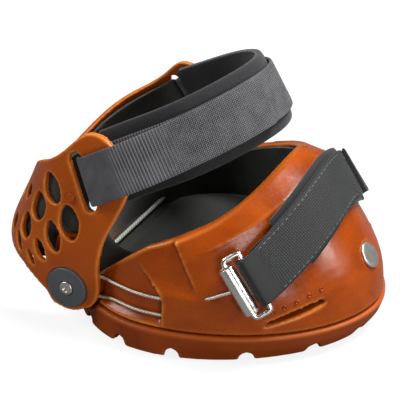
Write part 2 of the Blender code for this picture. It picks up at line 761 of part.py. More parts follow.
def build_hoof_shell():
    """The moulded shell, a cup with a collar, recessed wings, slits, ports and a rivet seat."""
    angles = hoof_outline_angles(SHELL_COLUMNS)
    rim = rim_height(angles)
    crease = crease_height(angles)
    base = np.full_like(angles, SOLE_THICKNESS + GAP)
    floor = base + SHELL_FLOOR
    rings = [shell_point(angles, base, BASE_ROUND), shell_point(angles, base + BASE_ROUND)]
    for share in OUTER_WALL_SHARES:
        rings.append(shell_point(angles, base + BASE_ROUND + (crease - base - BASE_ROUND) * share))
    for share in COLLAR_RING_SHARES:
        rings.append(shell_point(angles, crease + (rim - crease) * share))
    levels = [rim] + inner_levels(angles)[::-1] + [floor]
    for level in levels:
        rings.append(shell_point(angles, level, wall_thickness(angles, level)))
    mesh = loft("hoof_shell", rings)
    shell = new_object("hoof_shell", mesh, finish("shell_urethane", ORANGE, SATIN))
    cutters = [rivet_seat_mesh(), *lobe_rooms()]
    for _, side in SIDES:
        route = smooth_route(mirrored(tunnel_route(), side), TUNNEL_STEP)
        cutters.append(wing_cutter(side))
        cutters.append(slit_cutter(side))
        cutters.append(tube_mesh("tunnel", route, CABLE_TUNNEL_RADIUS, TUNNEL_SIDES))
        cutters.append(ferrule_mesh(side, HOLE_CLEARANCE, CUT_OVERRUN))
    cut(shell, cutters)
    return shell


def wing_cutter(side):
    """The recess of one side: deep behind the boss's edge and shallow between boss and front panel."""
    top = float(rim_height(angle_at(np.array([PANEL_EDGE_TOP_X]), np.array([RIM_SIDE_HEIGHT])))[0])
    heights = np.linspace(WING_FLOOR_HEIGHT, top + RIM_HEADROOM, WING_ROWS)
    depth_rows = []
    x_rows = []
    for height in heights:
        curve = smoothstep(height, BOSS_CURVE_FOOT_HEIGHT, BOSS_CURVE_TOP_HEIGHT)
        boss = BOSS_EDGE_FOOT_X + (BOSS_EDGE_TOP_X - BOSS_EDGE_FOOT_X) * curve
        climb = (height - WING_FLOOR_HEIGHT) / (top - WING_FLOOR_HEIGHT)
        panel = PANEL_EDGE_FOOT_X + (PANEL_EDGE_TOP_X - PANEL_EDGE_FOOT_X) * climb
        rear_x = WIDEST_X - WING_REAR_SHARE * (reaches(height, 0.0)[1] - WING_DEPTH)
        rear = np.linspace(rear_x, boss, WING_COLUMNS)
        front = np.linspace(boss + GAP, panel, BOSS_COLUMNS)
        x_rows.append(np.concatenate([rear, front]))
        depth_rows.append(np.concatenate([np.full_like(rear, WING_DEPTH), np.full_like(front, BOSS_DEPTH)]))
    x_grid = np.array(x_rows)
    depth = np.array(depth_rows)
    height_grid = np.repeat(heights[:, None], x_grid.shape[1], axis=1)
    angle = angle_at(x_grid, height_grid)
    inner = mirrored(shell_point(angle, height_grid, depth), side)
    outer = mirrored(shell_point(angle, height_grid, -CUT_OVERRUN), side)
    return slab("wing", outer, inner)


def slit_cutter(side):
    """A narrow lens-shaped slit through the side of the toe."""
    shares = np.linspace(0.0, 1.0, SLIT_COLUMNS)
    x = SLIT_REAR_X + (SLIT_FRONT_X - SLIT_REAR_X) * shares
    middle = SLIT_REAR_HEIGHT + (SLIT_FRONT_HEIGHT - SLIT_REAR_HEIGHT) * shares
    half = SLIT_WIDTH / 2.0 * (SLIT_END_SHARE + (1.0 - SLIT_END_SHARE) * np.sqrt(np.sin(math.pi * shares)))
    heights = np.stack([middle - half, middle + half])
    grid_x = np.stack([x, x])
    angle = angle_at(grid_x, heights)
    outer = mirrored(shell_point(angle, heights, -CUT_OVERRUN), side)
    inner = mirrored(shell_point(angle, heights, SHELL_WALL + CUT_OVERRUN), side)
    return slab("slit", outer, inner)


def rivet_frame():
    """Where the toe rivet sits and the wall's outward direction there."""
    place = shell_point(np.array([0.0]), np.array([RIVET_HEIGHT]))[0]
    normal = (math.sin(TOE_ANGLE), 0.0, math.cos(TOE_ANGLE))
    return Vector(place), Vector(normal)


def rivet_seat_mesh():
    """The rivet's stepped hole, with flats for its head outside and its washer inside."""
    place, normal = rivet_frame()
    wall = SHELL_WALL * WALL_HORIZONTAL_TO_NORMAL
    head = RIVET_HEAD_RADIUS + HOLE_CLEARANCE
    shank = RIVET_SHANK_RADIUS + HOLE_CLEARANCE
    washer = WASHER_RADIUS + 2.0 * HOLE_CLEARANCE
    seat = RIVET_PROUD - RIVET_HEAD_THICKNESS - GAP
    profile = [
        (head, CUT_OVERRUN), (head, seat), (shank, seat),
        (shank, -wall + LINER_THICKNESS), (washer, -wall + LINER_THICKNESS), (washer, -wall - CUT_OVERRUN),
    ]
    return solid_of_turn("rivet_cutter", profile, place, normal)


def build_toe_rivet():
    """A flat-headed rivet through the toe, with its washer."""
    place, normal = rivet_frame()
    wall = SHELL_WALL * WALL_HORIZONTAL_TO_NORMAL
    washer_top = -wall + LINER_THICKNESS - GAP
    tail_top = washer_top - WASHER_THICKNESS - GAP
    bottom = RIVET_PROUD - RIVET_HEAD_THICKNESS
    edge = RIVET_PROUD / 2.0
    profile = [
        (RIVET_HEAD_RADIUS - edge, RIVET_PROUD), (RIVET_HEAD_RADIUS, RIVET_PROUD - edge),
        (RIVET_HEAD_RADIUS, bottom), (RIVET_SHANK_RADIUS, bottom), (RIVET_SHANK_RADIUS, tail_top),
        (RIVET_TAIL_RADIUS, tail_top), (RIVET_TAIL_RADIUS, tail_top - RIVET_TAIL_THICKNESS),
    ]
    steel = finish("steel", STEEL, BRIGHT, 1.0)
    new_object("toe_rivet", solid_of_turn("toe_rivet", profile, place, normal), steel)
    hole = RIVET_SHANK_RADIUS + HOLE_CLEARANCE
    ring = [
        (hole, washer_top), (WASHER_RADIUS, washer_top),
        (WASHER_RADIUS, washer_top - WASHER_THICKNESS), (hole, washer_top - WASHER_THICKNESS),
    ]
    new_object("toe_rivet_washer", solid_of_turn("toe_rivet_washer", ring, place, normal, bore=True), steel)


def build_linings():
    """The black lining of the shell and the insole pad."""
    angles = hoof_outline_angles(SHELL_COLUMNS)
    base = np.full_like(angles, FLOOR_TOP + GAP)
    grids = []
    for depth in (LINING_CLEARANCE, LINING_CLEARANCE + LINER_THICKNESS):
        rows = []
        for level in [base] + inner_levels(angles):
            rows.append(shell_point(angles, level, wall_thickness(angles, level) + depth))
        grids.append(rows)
    rings = grids[0] + grids[1][::-1]
    lining = loft("shell_liner", rings, wrap_ends=True)
    liner = new_object("shell_liner", lining, finish("lining", BLACK, CLOTH))
    cut(liner, [liner_rivet_room()])
    depth = SHELL_WALL + LINING_CLEARANCE + LINER_THICKNESS + INSOLE_CLEARANCE
    low = float(base[0])
    rings = []
    for height in (low, low + INSOLE_THICKNESS):
        ring = plan_point(angles, np.full_like(angles, low), depth)
        ring[:, 0] = np.maximum(ring[:, 0], INSOLE_REAR_X)
        ring[:, 2] = height
        rings.append(ring)
    work = bmesh.new()
    rows = [[work.verts.new(point) for point in ring] for ring in rings]
    count = len(rows[0])
    for step in range(count):
        after = (step + 1) % count
        work.faces.new((rows[0][step], rows[0][after], rows[1][after], rows[1][step]))
    work.faces.new(rows[0])
    work.faces.new(rows[1])
    bmesh.ops.remove_doubles(work, verts=work.verts, dist=GAP / 10.0)
    new_object("insole_pad", mesh_from_bmesh("insole_pad", work), finish("insole_foam", INSOLE_BLACK, CLOTH))


def liner_rivet_room():
    """Room in the lining for the rivet's washer and tail."""
    place, normal = rivet_frame()
    wall = SHELL_WALL * WALL_HORIZONTAL_TO_NORMAL
    radius = WASHER_RADIUS + 2.0 * HOLE_CLEARANCE
    profile = rod_profile(radius, -wall - CUT_OVERRUN, -wall + CUT_OVERRUN / 2.0)
    return solid_of_turn("liner_rivet_cutter", profile, place, normal)


# Cables

def port_point(x, height, depth):
    """A point on the left side at an X and a height, under the shell's surface."""
    level = np.array([height])
    return shell_point(angle_at(np.array([x]), level), level, depth)[0]


def buckle_axes():
    """Place of the left buckle tube, its long direction and the direction from it to the strap bar."""
    level = np.array([BUCKLE_HEIGHT])
    angle = angle_at(np.array([TOE_X - BUCKLE_FROM_TOE]), level)
    normal = Vector(shell_normal(angle, level)[0])
    place = Vector(plan_point(angle, level)[0]) + normal * BUCKLE_STAND_OFF
    long_axis = Vector((math.sin(BUCKLE_LEAN), 0.0, -math.cos(BUCKLE_LEAN)))
    if normal.y < 0.0:
        normal = -normal
    across = normal.cross(long_axis).normalized()
    if across.x < 0.0:
        across = -across
    long_axis = (long_axis - across * long_axis.dot(across)).normalized()
    return place, long_axis, across


def tunnel_route():
    """The cable's way through the left boss, past both ends."""
    rear = port_point(BOSS_EDGE_FOOT_X, UPPER_PORT_HEIGHT, PORT_DEPTH)
    front = port_point(FRONT_PORT_X, FRONT_PORT_HEIGHT, BOSS_DEPTH / 2.0)
    tube = np.array(buckle_axes()[0])
    behind = rear + (rear - front) * TUNNEL_REAR_SHARE
    ahead = front + (tube - front) * TUNNEL_FRONT_SHARE
    return [behind, rear, (rear + front) / 2.0, front, ahead]


def hub_point(turn):
    """A point of the cable's turn round the left hub's groove, by its angle from the front."""
    radius = BUSH_GROOVE_RADIUS + GAP + CABLE_RADIUS
    y = GUARD_INNER_Y + GUARD_THICKNESS + BUSH_SPACE / 2.0
    return np.array([HUB_X + radius * math.cos(turn), y, HUB_HEIGHT + radius * math.sin(turn)])


def cable_route(side):
    """The whole cable: buckle, boss, round the hub and back to its ferrule in the boss."""
    tube = np.array(buckle_axes()[0])
    toward = tube - port_point(FRONT_PORT_X, FRONT_PORT_HEIGHT, BOSS_DEPTH / 2.0)
    toward = toward / np.linalg.norm(toward)
    start = tube - toward * (STOP_LENGTH / 2.0)
    rear = port_point(BOSS_EDGE_FOOT_X, UPPER_PORT_HEIGHT, PORT_DEPTH)
    front = port_point(FRONT_PORT_X, FRONT_PORT_HEIGHT, BOSS_DEPTH / 2.0)
    low = port_point(BOSS_EDGE_FOOT_X, LOWER_PORT_HEIGHT, PORT_DEPTH)
    points = [start, (start + front) / 2.0, front, (rear + front) / 2.0, rear]
    wing = [BOSS_EDGE_FOOT_X + (CABLE_EXIT_X - BOSS_EDGE_FOOT_X) * share for share in WING_CABLE_SHARES]
    upper = hub_point(WRAP_START)
    points.extend(port_point(x, UPPER_PORT_HEIGHT, PORT_DEPTH) for x in wing)
    hub_y = GUARD_INNER_Y + GUARD_THICKNESS + BUSH_SPACE / 2.0
    points.append(np.array([CABLE_EXIT_X, hub_y, (UPPER_PORT_HEIGHT + upper[2]) / 2.0]))
    points.extend(hub_point(turn) for turn in np.linspace(WRAP_START, WRAP_END, WRAP_POINTS))
    lower = hub_point(WRAP_END)
    points.append(np.array([CABLE_EXIT_X, hub_y, (LOWER_PORT_HEIGHT + lower[2]) / 2.0]))
    points.extend(port_point(x, LOWER_PORT_HEIGHT, PORT_DEPTH) for x in wing[::-1])
    points.append(low)
    return smooth_route(mirrored(points, side), CABLE_STEP)


def ferrule_direction():
    """The direction in which the lower cable end runs into the left boss."""
    low = port_point(BOSS_EDGE_FOOT_X, LOWER_PORT_HEIGHT, PORT_DEPTH)
    ahead = port_point(BOSS_EDGE_FOOT_X + FERRULE_LENGTH, LOWER_PORT_HEIGHT, PORT_DEPTH)
    return low, (ahead - low) / np.linalg.norm(ahead - low)


def ferrule_mesh(side, clearance, overrun):
    """The crimped ferrule in the boss, or the hole that holds it."""
    low, direction = ferrule_direction()
    profile = rod_profile(FERRULE_RADIUS + clearance, GAP - overrun, FERRULE_LENGTH + clearance)
    return solid_of_turn("ferrule", profile, mirrored(low, side), mirrored(direction, side), SMALL_SIDES)


def build_cables(cup):
    """Both draw cables with their stops and ferrules, and the cable across the heel."""
    wire = finish("steel_cable", WIRE_GREY, SATIN, 1.0)
    steel = finish("steel", STEEL, BRIGHT, 1.0)
    for name, side in SIDES:
        tube_curve(f"cable_{name}", cable_route(side), CABLE_RADIUS, 1, wire)
        new_object(f"cable_ferrule_{name}", ferrule_mesh(side, 0.0, 0.0), steel)
        tube = np.array(buckle_axes()[0])
        front = port_point(FRONT_PORT_X, FRONT_PORT_HEIGHT, BOSS_DEPTH / 2.0)
        toward = (tube - front) / np.linalg.norm(tube - front)
        place = tube - toward * (STOP_LENGTH / 2.0 - GAP)
        profile = rod_profile(STOP_RADIUS, 0.0, STOP_BODY_LENGTH, STOP_ROUND)
        mesh = solid_of_turn("stop", profile, mirrored(place, side), mirrored(toward, side), SMALL_SIDES)
        new_object(f"cable_stop_{name}", mesh, steel)
    half = GUARD_INNER_Y - GAP - NUT_THICKNESS - GAP
    shares = np.linspace(-1.0, 1.0, HEEL_CABLE_POINTS)
    ends = [(HUB_X, half * share, HUB_HEIGHT) for share in shares]
    sleeve = finish("heel_cable_sleeve", SLEEVE_GREY, MATT)
    tube_curve("heel_cable", ends, HEEL_CABLE_RADIUS, 2, sleeve, cup)


# Buckles

def build_buckles():
    """Each buckle: a steel tube and the wire ring that its ends hold, which carries the strap."""
    steel = finish("buckle_steel", PLATED_STEEL, BRIGHT, 1.0)
    for name, side in SIDES:
        place, long_axis, across = buckle_axes()
        bore = TUBE_RADIUS - TUBE_WALL
        half = TUBE_LENGTH / 2.0
        edge = TUBE_ROUND
        profile = [
            (bore, -half), (TUBE_RADIUS - edge, -half), (TUBE_RADIUS, -half + edge),
            (TUBE_RADIUS, half - edge), (TUBE_RADIUS - edge, half), (bore, half),
        ]
        spot = mirrored(place, side)
        axis = mirrored(long_axis, side)
        mesh = solid_of_turn("tube", profile, spot, axis, bore=True)
        tube = new_object(f"buckle_tube_{name}", mesh, steel)
        front = port_point(FRONT_PORT_X, FRONT_PORT_HEIGHT, BOSS_DEPTH / 2.0)
        inward = mirrored((front - np.array(place)) / np.linalg.norm(front - np.array(place)), side)
        hole = rod_profile(CABLE_TUNNEL_RADIUS, bore / 2.0, TUBE_RADIUS + CUT_OVERRUN)
        cut(tube, [solid_of_turn("hole", hole, spot, inward, TUNNEL_SIDES)])
        out = half + RING_WIRE_RADIUS + RING_BEND * RING_END_SHARE
        bulge = RING_BEND * RING_BULGE_SHARE
        route = [
            place + long_axis * (half - RING_PLUG),
            place + long_axis * half,
            place + long_axis * out + across * RING_BEND * RING_CORNER_SHARE,
            place + long_axis * (out + bulge) + across * (RING_REACH / 2.0),
            place + long_axis * out + across * (RING_REACH - RING_BEND * RING_INNER_SHARE),
            place + long_axis * (half - bulge) + across * RING_REACH,
        ]
        low = [place * 2.0 - point + across * ((point - place).dot(across) * 2.0) for point in route[::-1]]
        points = [mirrored(point, side) for point in route + low]
        tube_curve(f"buckle_ring_{name}", smooth_route(points, RING_STEP), RING_WIRE_RADIUS, 1, steel)


def strap_bar(side):
    """Middle and direction of a buckle ring's strap bar."""
    place, long_axis, across = buckle_axes()
    return mirrored(place + across * RING_REACH, side), mirrored(long_axis, side)


# Hub

def hub_solid(name, side, profile, segments, bore=True):
    """A turned mesh on the hub axis, its profile given as (radius, distance from the middle)."""
    return solid_of_turn(name, profile, (HUB_X, 0.0, HUB_HEIGHT), (0.0, side, 0.0), segments, bore)


def build_hubs(cup):
    """On each side, from inside to outside: nut, guard plate, grooved bush, cap disc and screw."""
    steel = finish("steel", STEEL, BRIGHT, 1.0)
    plate = finish("cup_urethane", ORANGE, SATIN)
    plastic = finish("bush_acetal", ACETAL_BLACK, SATIN)
    cap = finish("disc_aluminium", SLATE, SATIN)
    hole = SCREW_RADIUS + HOLE_CLEARANCE
    nut_low = GUARD_INNER_Y - GAP - NUT_THICKNESS
    guard_top = GUARD_INNER_Y + GUARD_THICKNESS
    bush_low = guard_top + GAP
    bush_top = guard_top + BUSH_SPACE - GAP
    disc_low = CUP_HALF_WIDTH - DISC_SEAT_DEPTH + GAP
    disc_top = disc_low + DISC_THICKNESS
    head_low = disc_top - SCREW_HEAD_THICKNESS
    recess = SCREW_HEAD_RADIUS + HOLE_CLEARANCE
    flat = math.cos(math.pi / NUT_SIDES)
    for name, side in SIDES:
        nut = [
            (hole / flat, nut_low), (NUT_RADIUS, nut_low),
            (NUT_RADIUS, nut_low + NUT_THICKNESS), (hole / flat, nut_low + NUT_THICKNESS),
        ]
        new_object(f"hub_nut_{name}", hub_solid("nut", side, nut, NUT_SIDES), steel, cup)
        bush = [
            (hole, bush_low), (BUSH_FLANGE_RADIUS, bush_low), (BUSH_FLANGE_RADIUS, bush_low + BUSH_FLANGE),
            (BUSH_GROOVE_RADIUS, bush_low + BUSH_FLANGE * 2.0),
            (BUSH_GROOVE_RADIUS, bush_top - BUSH_FLANGE * 2.0),
            (BUSH_FLANGE_RADIUS, bush_top - BUSH_FLANGE), (BUSH_FLANGE_RADIUS, bush_top), (hole, bush_top),
        ]
        new_object(f"hub_bush_{name}", hub_solid("bush", side, bush, BUSH_SIDES), plastic)
        disc = [
            (hole, disc_low), (DISC_RADIUS, disc_low), (DISC_RADIUS, disc_top - DISC_ROUND),
            (DISC_RADIUS - DISC_ROUND, disc_top), (recess, disc_top),
            (recess, head_low - GAP), (hole, head_low - GAP),
        ]
        new_object(f"hub_disc_{name}", hub_solid("disc", side, disc, DISC_SIDES), cap, cup)
        screw = [
            (SCREW_RADIUS, nut_low), (SCREW_RADIUS, head_low), (SCREW_HEAD_RADIUS, head_low),
            (SCREW_HEAD_RADIUS, disc_top), (SCREW_HEAD_RADIUS - DISC_ROUND, disc_top + DISC_ROUND),
            (SCREW_SOCKET_RADIUS, disc_top + DISC_ROUND),
            (SCREW_SOCKET_RADIUS, disc_top + DISC_ROUND - SCREW_SOCKET_DEPTH),
        ]
        new_object(f"hub_screw_{name}", hub_solid("screw", side, screw, SCREW_SIDES, bore=False), steel, cup)
        guard = new_object(f"guard_plate_{name}", guard_mesh(side), plate, cup)
        bore = rod_profile(hole, GUARD_INNER_Y - CUT_OVERRUN, guard_top + CUT_OVERRUN)
        cut(guard, [hub_solid("guard_bore", side, bore, BUSH_SIDES, bore=False)])


def guard_mesh(side):
    """The plate inside the cable's room: a round lobe about the hub with an arm rising from it."""
    radius = LOBE_RADIUS - HOLE_CLEARANCE * 3.0
    outline = [
        (HUB_X + radius * math.cos(turn), HUB_HEIGHT + radius * math.sin(turn))
        for turn in np.linspace(GUARD_LOBE_START, GUARD_LOBE_END, GUARD_LOBE_POINTS)
    ]
    front = HUB_X + GUARD_ARM_FRONT
    rear = HUB_X - GUARD_ARM_REAR
    outline += [
        (front, GUARD_ARM_KNEE_HEIGHT),
        (front, GUARD_ARM_HEIGHT - GUARD_ARM_ROUND), (front - GUARD_ARM_ROUND, GUARD_ARM_HEIGHT),
        (rear + GUARD_ARM_ROUND, GUARD_ARM_HEIGHT), (rear, GUARD_ARM_HEIGHT - GUARD_ARM_ROUND),
    ]
    rings = []
    for level in (GUARD_INNER_Y, GUARD_INNER_Y + GUARD_THICKNESS):
        rings.append(np.array([(x, side * level, z) for x, z in outline]))
    return loft("guard", rings)


# Heel cup

def cup_plan(height, inset):
    """Reach, half width and squareness of the cup's plan at a height."""
    half = CUP_HALF_WIDTH - CUP_LEAN_SLOPE * softplus(height - CUP_LEAN_HEIGHT, CUP_LEAN_SOFTNESS) - inset
    blend = 1.0 / (1.0 + np.exp((CUP_SHAPE_HEIGHT - height) / CUP_SHAPE_SOFTNESS))
    squareness = CUP_LOW_SQUARENESS + (CUP_HIGH_SQUARENESS - CUP_LOW_SQUARENESS) * blend
    reach = CUP_REACH - CUP_BACK_SLOPE * softplus(height - CUP_BACK_HEIGHT, CUP_BACK_SOFTNESS) - inset
    return reach, half, squareness


def cup_point(angle, height, inset=0.0):
    """A point of the cup's surface by its angle about the cup's centre, 0 towards the toe."""
    reach, half, power = cup_plan(height, inset)
    cosine = np.cos(angle)
    sine = np.sin(angle)
    reach = np.where(cosine > 0.0, CUP_FRONT_REACH - inset, reach)
    radius = ((np.abs(cosine) / reach) ** power + (np.abs(sine) / half) ** power) ** (-1.0 / power)
    x = CUP_CENTRE_X + radius * cosine
    return np.stack([x, radius * sine, np.broadcast_to(height, np.shape(x))], axis=-1)


def cup_frame(angle, height):
    """A place on the cup's surface, its outward normal and the level direction along the wall."""
    place = cup_point(angle, height)
    level = cup_point(angle + ANGLE_STEP, height) - cup_point(angle - ANGLE_STEP, height)
    climb = cup_point(angle, height + GAP) - cup_point(angle, height - GAP)
    level = Vector(level).normalized()
    normal = level.cross(Vector(climb)).normalized()
    return Vector(place), normal, level


def cup_side(x, height, inset):
    """Distance of the cup's side wall from the middle, ahead of the cup's centre."""
    _, half, power = cup_plan(height, inset)
    ahead = np.abs((x - CUP_CENTRE_X) / (CUP_FRONT_REACH - inset))
    return half * (1.0 - ahead ** power) ** (1.0 / power)


def cup_front_angle(height, inset):
    """The angle of the cup's front edge at a height."""
    heights = CUP_HEIGHT * np.array(CUP_FRONT_HEIGHT_SHARES)
    x = CUP_CENTRE_X + CUP_FRONT_LENGTH * np.interp(height, heights, CUP_FRONT_LENGTH_SHARES)
    return np.arctan2(cup_side(x, height, inset), x - CUP_CENTRE_X)


def cup_grid(columns, bottom, top, rows, inset):
    """A grid over the cup's wall between two lines of heights, given at each column's share."""
    share = np.linspace(0.0, 1.0, rows)[:, None]
    height = bottom + (top - bottom) * share
    angle = math.pi - columns * (math.pi - cup_front_angle(height, inset))
    return cup_point(angle, height, inset)


def build_heel_cup(cup):
    """The cup behind the heel, its windows, strap slots, disc seats and screw holes."""
    columns = np.linspace(-1.0, 1.0, CUP_COLUMNS)
    bottom = CUP_HEIGHT * np.interp(np.abs(columns), CUP_BOTTOM_SHARES, CUP_BOTTOM_HEIGHT_SHARES)
    top = CUP_HEIGHT * np.interp(np.abs(columns), CUP_TOP_SHARES, CUP_TOP_HEIGHT_SHARES)
    outer = cup_grid(columns, bottom, top, CUP_ROWS, 0.0)
    inner = cup_grid(columns, bottom, top, CUP_ROWS, CUP_WALL)
    colour = finish("cup_urethane", ORANGE, SATIN)
    body = new_object("heel_cup", slab("heel_cup", outer, inner), colour, cup)
    cutters = []
    for _, side in SIDES:
        seat_low = CUP_HALF_WIDTH - DISC_SEAT_DEPTH
        seat = rod_profile(DISC_RADIUS + HOLE_CLEARANCE, seat_low, CUP_HALF_WIDTH + CUT_OVERRUN)
        bore = rod_profile(SCREW_RADIUS + HOLE_CLEARANCE, GUARD_INNER_Y, CUP_HALF_WIDTH + CUT_OVERRUN / 2.0)
        cutters.append(hub_solid("disc_seat", side, seat, DISC_SIDES, bore=False))
        cutters.append(hub_solid("screw_bore", side, bore, BUSH_SIDES, bore=False))
        cutters.append(ear_slot_mesh(side))
        hole = rod_profile(STUD_SHANK_RADIUS + HOLE_CLEARANCE, -CUP_WALL * 3.0, CUT_OVERRUN)
        cutters.append(stud_mesh(side, hole))
        for angle, height, width, length, lean in WINDOW_SHARES:
            sizes = [CUP_HEIGHT * share for share in (height, width, length)]
            cutters.append(window_mesh(math.pi * angle * side, *sizes, math.pi * lean))
    cut(body, cutters)
    return body


def window_mesh(angle, height, width, length, lean):
    """A window's cutter: a leaning leaf outline driven straight through the wall."""
    place, normal, level = cup_frame(angle, height)
    up = normal.cross(level).normalized()
    lean = math.copysign(lean, angle)
    long_way = up * math.cos(lean) + level * math.sin(lean)
    wide_way = level * math.cos(lean) - up * math.sin(lean)
    rings = []
    for depth in (CUP_WALL, -CUP_WALL * 2.0):
        ring = []
        for turn in np.linspace(0.0, math.tau, WINDOW_POINTS, endpoint=False) + math.pi / WINDOW_POINTS:
            across = math.copysign(abs(math.cos(turn)) ** LEAF_POWER, math.cos(turn)) * width / 2.0
            along_way = math.copysign(abs(math.sin(turn)) ** LEAF_POWER, math.sin(turn)) * length / 2.0
            ring.append(place + normal * depth + wide_way * across + long_way * along_way)
        rings.append(np.array(ring))
    return loft("window", rings)


def stud_mesh(side, profile):
    """A turned mesh across the cup's wall at the liner's stud."""
    place, normal, _ = cup_frame(STUD_ANGLE * side, STUD_HEIGHT)
    return solid_of_turn("stud", profile, place, normal, STUD_SIDES)


def build_cup_liner(cup):
    """The padded lining of the cup and the studs that hold it."""
    columns = np.linspace(-1.0, 1.0, CUP_LINER_COLUMNS) * CUP_LINER_SHARES[-1]
    bottom = CUP_HEIGHT * np.interp(np.abs(columns), CUP_LINER_SHARES, CUP_LINER_FLOOR_SHARES)
    top = CUP_HEIGHT * np.interp(np.abs(columns), CUP_LINER_SHARES, CUP_LINER_TOP_SHARES)
    grids = []
    for depth in (0.0, CUP_LINER_THICKNESS):
        share = np.linspace(0.0, 1.0, CUP_LINER_ROWS)[:, None]
        height = bottom + (top - bottom) * share
        beside = smoothstep(np.abs(columns), CUP_LINER_SHARES[3], CUP_LINER_SHARES[5])
        under = 1.0 - smoothstep(height, CUP_LINER_LOW_HEIGHT, CUP_LINER_HIGH_HEIGHT)
        drop = CUP_LINER_DROP * beside * under
        inset = CUP_WALL + LINER_CLEARANCE + drop + depth
        angle = math.pi - columns * (math.pi - cup_front_angle(height, CUP_WALL))
        grids.append(cup_point(angle, height, inset))
    outer, inner = grids
    mesh = slab("heel_cup_liner", outer, inner)
    liner = new_object("heel_cup_liner", mesh, finish("lining", BLACK, CLOTH), cup)
    hole = STUD_SHANK_RADIUS + HOLE_CLEARANCE
    cut(liner, [stud_mesh(side, rod_profile(hole, -CUP_WALL * 3.0, CUT_OVERRUN)) for _, side in SIDES])
    orange = finish("cup_urethane", ORANGE, SATIN)
    tail = -(CUP_WALL + LINER_CLEARANCE + CUP_LINER_THICKNESS + GAP)
    profile = [
        (STUD_RADIUS - STUD_ROUND, STUD_HEAD_THICKNESS + GAP),
        (STUD_RADIUS, STUD_HEAD_THICKNESS / 2.0 + GAP), (STUD_RADIUS, GAP), (STUD_SHANK_RADIUS, GAP),
        (STUD_SHANK_RADIUS, tail), (STUD_RADIUS, tail), (STUD_RADIUS, tail - STUD_HEAD_THICKNESS / 2.0),
    ]
    for name, side in SIDES:
        new_object(f"liner_stud_{name}", stud_mesh(side, profile), orange, cup)


# Pastern strap

def strap_directions():
    """Forward and sideways directions of the pastern strap's plane."""
    return np.array([math.cos(STRAP_TILT), 0.0, math.sin(STRAP_TILT)]), np.array([0.0, 1.0, 0.0])


def pastern_axis(side):
    """Where a fold of the pastern strap turns, inside the wall at the front edge of an ear's slot."""
    y = cup_side(PASTERN_AXIS_X, PASTERN_AXIS_HEIGHT, CUP_WALL / 2.0)
    return np.array([PASTERN_AXIS_X, side * y, PASTERN_AXIS_HEIGHT])


def pastern_across(side):
    """Direction of the strap's width, which leans in with the ear's wall: side is -1 to 1 round the loop."""
    half = WEB_WIDTH / 2.0
    ends = []
    for share in (-half, half):
        x = PASTERN_AXIS_X - math.sin(STRAP_TILT) * share
        height = PASTERN_AXIS_HEIGHT + math.cos(STRAP_TILT) * share
        ends.append(np.array([x, float(cup_side(x, height, CUP_WALL / 2.0)), height]))
    lean = ends[1] - ends[0]
    across = np.stack([np.full_like(side, lean[0]), lean[1] * side, np.full_like(side, lean[2])], axis=-1)
    return across / np.linalg.norm(across, axis=-1, keepdims=True)


def pastern_point(turn):
    """Distances forward and sideways of the pastern loop: the turn is 0 in front and -1 at the right slot."""
    angle = np.asarray(turn) * math.pi / 2.0
    power = 2.0 / PASTERN_SQUARENESS
    forward = PASTERN_REACH * np.abs(np.cos(angle)) ** power
    sideways = pastern_axis(1.0)[1] * np.sign(angle) * np.abs(np.sin(angle)) ** power
    return forward, sideways


def pastern_line(turn, offset):
    """Points of the loop set off outward by an amount each."""
    forward, sideways = pastern_point(turn)
    before = pastern_point(np.clip(turn - PASTERN_STEP_SHARE, -1.0, 1.0))
    after = pastern_point(np.clip(turn + PASTERN_STEP_SHARE, -1.0, 1.0))
    run = np.stack([after[0] - before[0], after[1] - before[1]])
    run = run / np.linalg.norm(run, axis=0)
    return np.stack([forward + run[1] * offset, sideways - run[0] * offset], axis=1)


def fold_arc(side, start, stop, radius, count):
    """Points about a slot's front edge, by angle from straight outward, turning rearward and inward."""
    turns = np.linspace(start, stop, count)
    return np.stack([-radius * np.sin(turns), side * (pastern_axis(1.0)[1] + radius * np.cos(turns))], axis=1)


def pastern_band(name, middle, thickness, width):
    """A strap of even thickness whose middle runs along points in the pastern plane."""
    path = np.asarray(middle)
    forward, sideways = strap_directions()
    origin = np.array([PASTERN_AXIS_X, 0.0, PASTERN_AXIS_HEIGHT])
    spine = origin + path[:, 0:1] * forward + path[:, 1:2] * sideways
    across = pastern_across(np.clip(path[:, 1] / pastern_axis(1.0)[1], -1.0, 1.0))
    run = np.gradient(spine, axis=0)
    out = np.cross(across, run)
    out = out / np.linalg.norm(out, axis=1, keepdims=True) * thickness / 2.0
    grids = []
    for line in (spine + out, spine - out):
        grids.append(np.stack([line - across * width / 2.0, line + across * width / 2.0], axis=1))
    return slab(name, grids[0], grids[1])


def ear_slot_mesh(side):
    """The cutter of an ear's strap slot, with rounded ends."""
    forward, sideways = strap_directions()
    across = pastern_across(np.array(side))
    centre = pastern_axis(side) - forward * EAR_SLOT_SHIFT
    radius = EAR_SLOT_WIDTH / 2.0
    straight = EAR_SLOT_LENGTH / 2.0 - radius
    rings = []
    for depth in (-CUT_OVERRUN * 2.0, CUT_OVERRUN * 2.0):
        ring = []
        for end in (1.0, -1.0):
            for turn in np.linspace(0.0, math.pi, EAR_SLOT_END_POINTS):
                aside = straight + radius * math.sin(turn)
                spot = across * end * aside + forward * end * radius * math.cos(turn)
                ring.append(centre + spot + sideways * depth)
        rings.append(np.array(ring))
    return loft("ear_slot", rings)


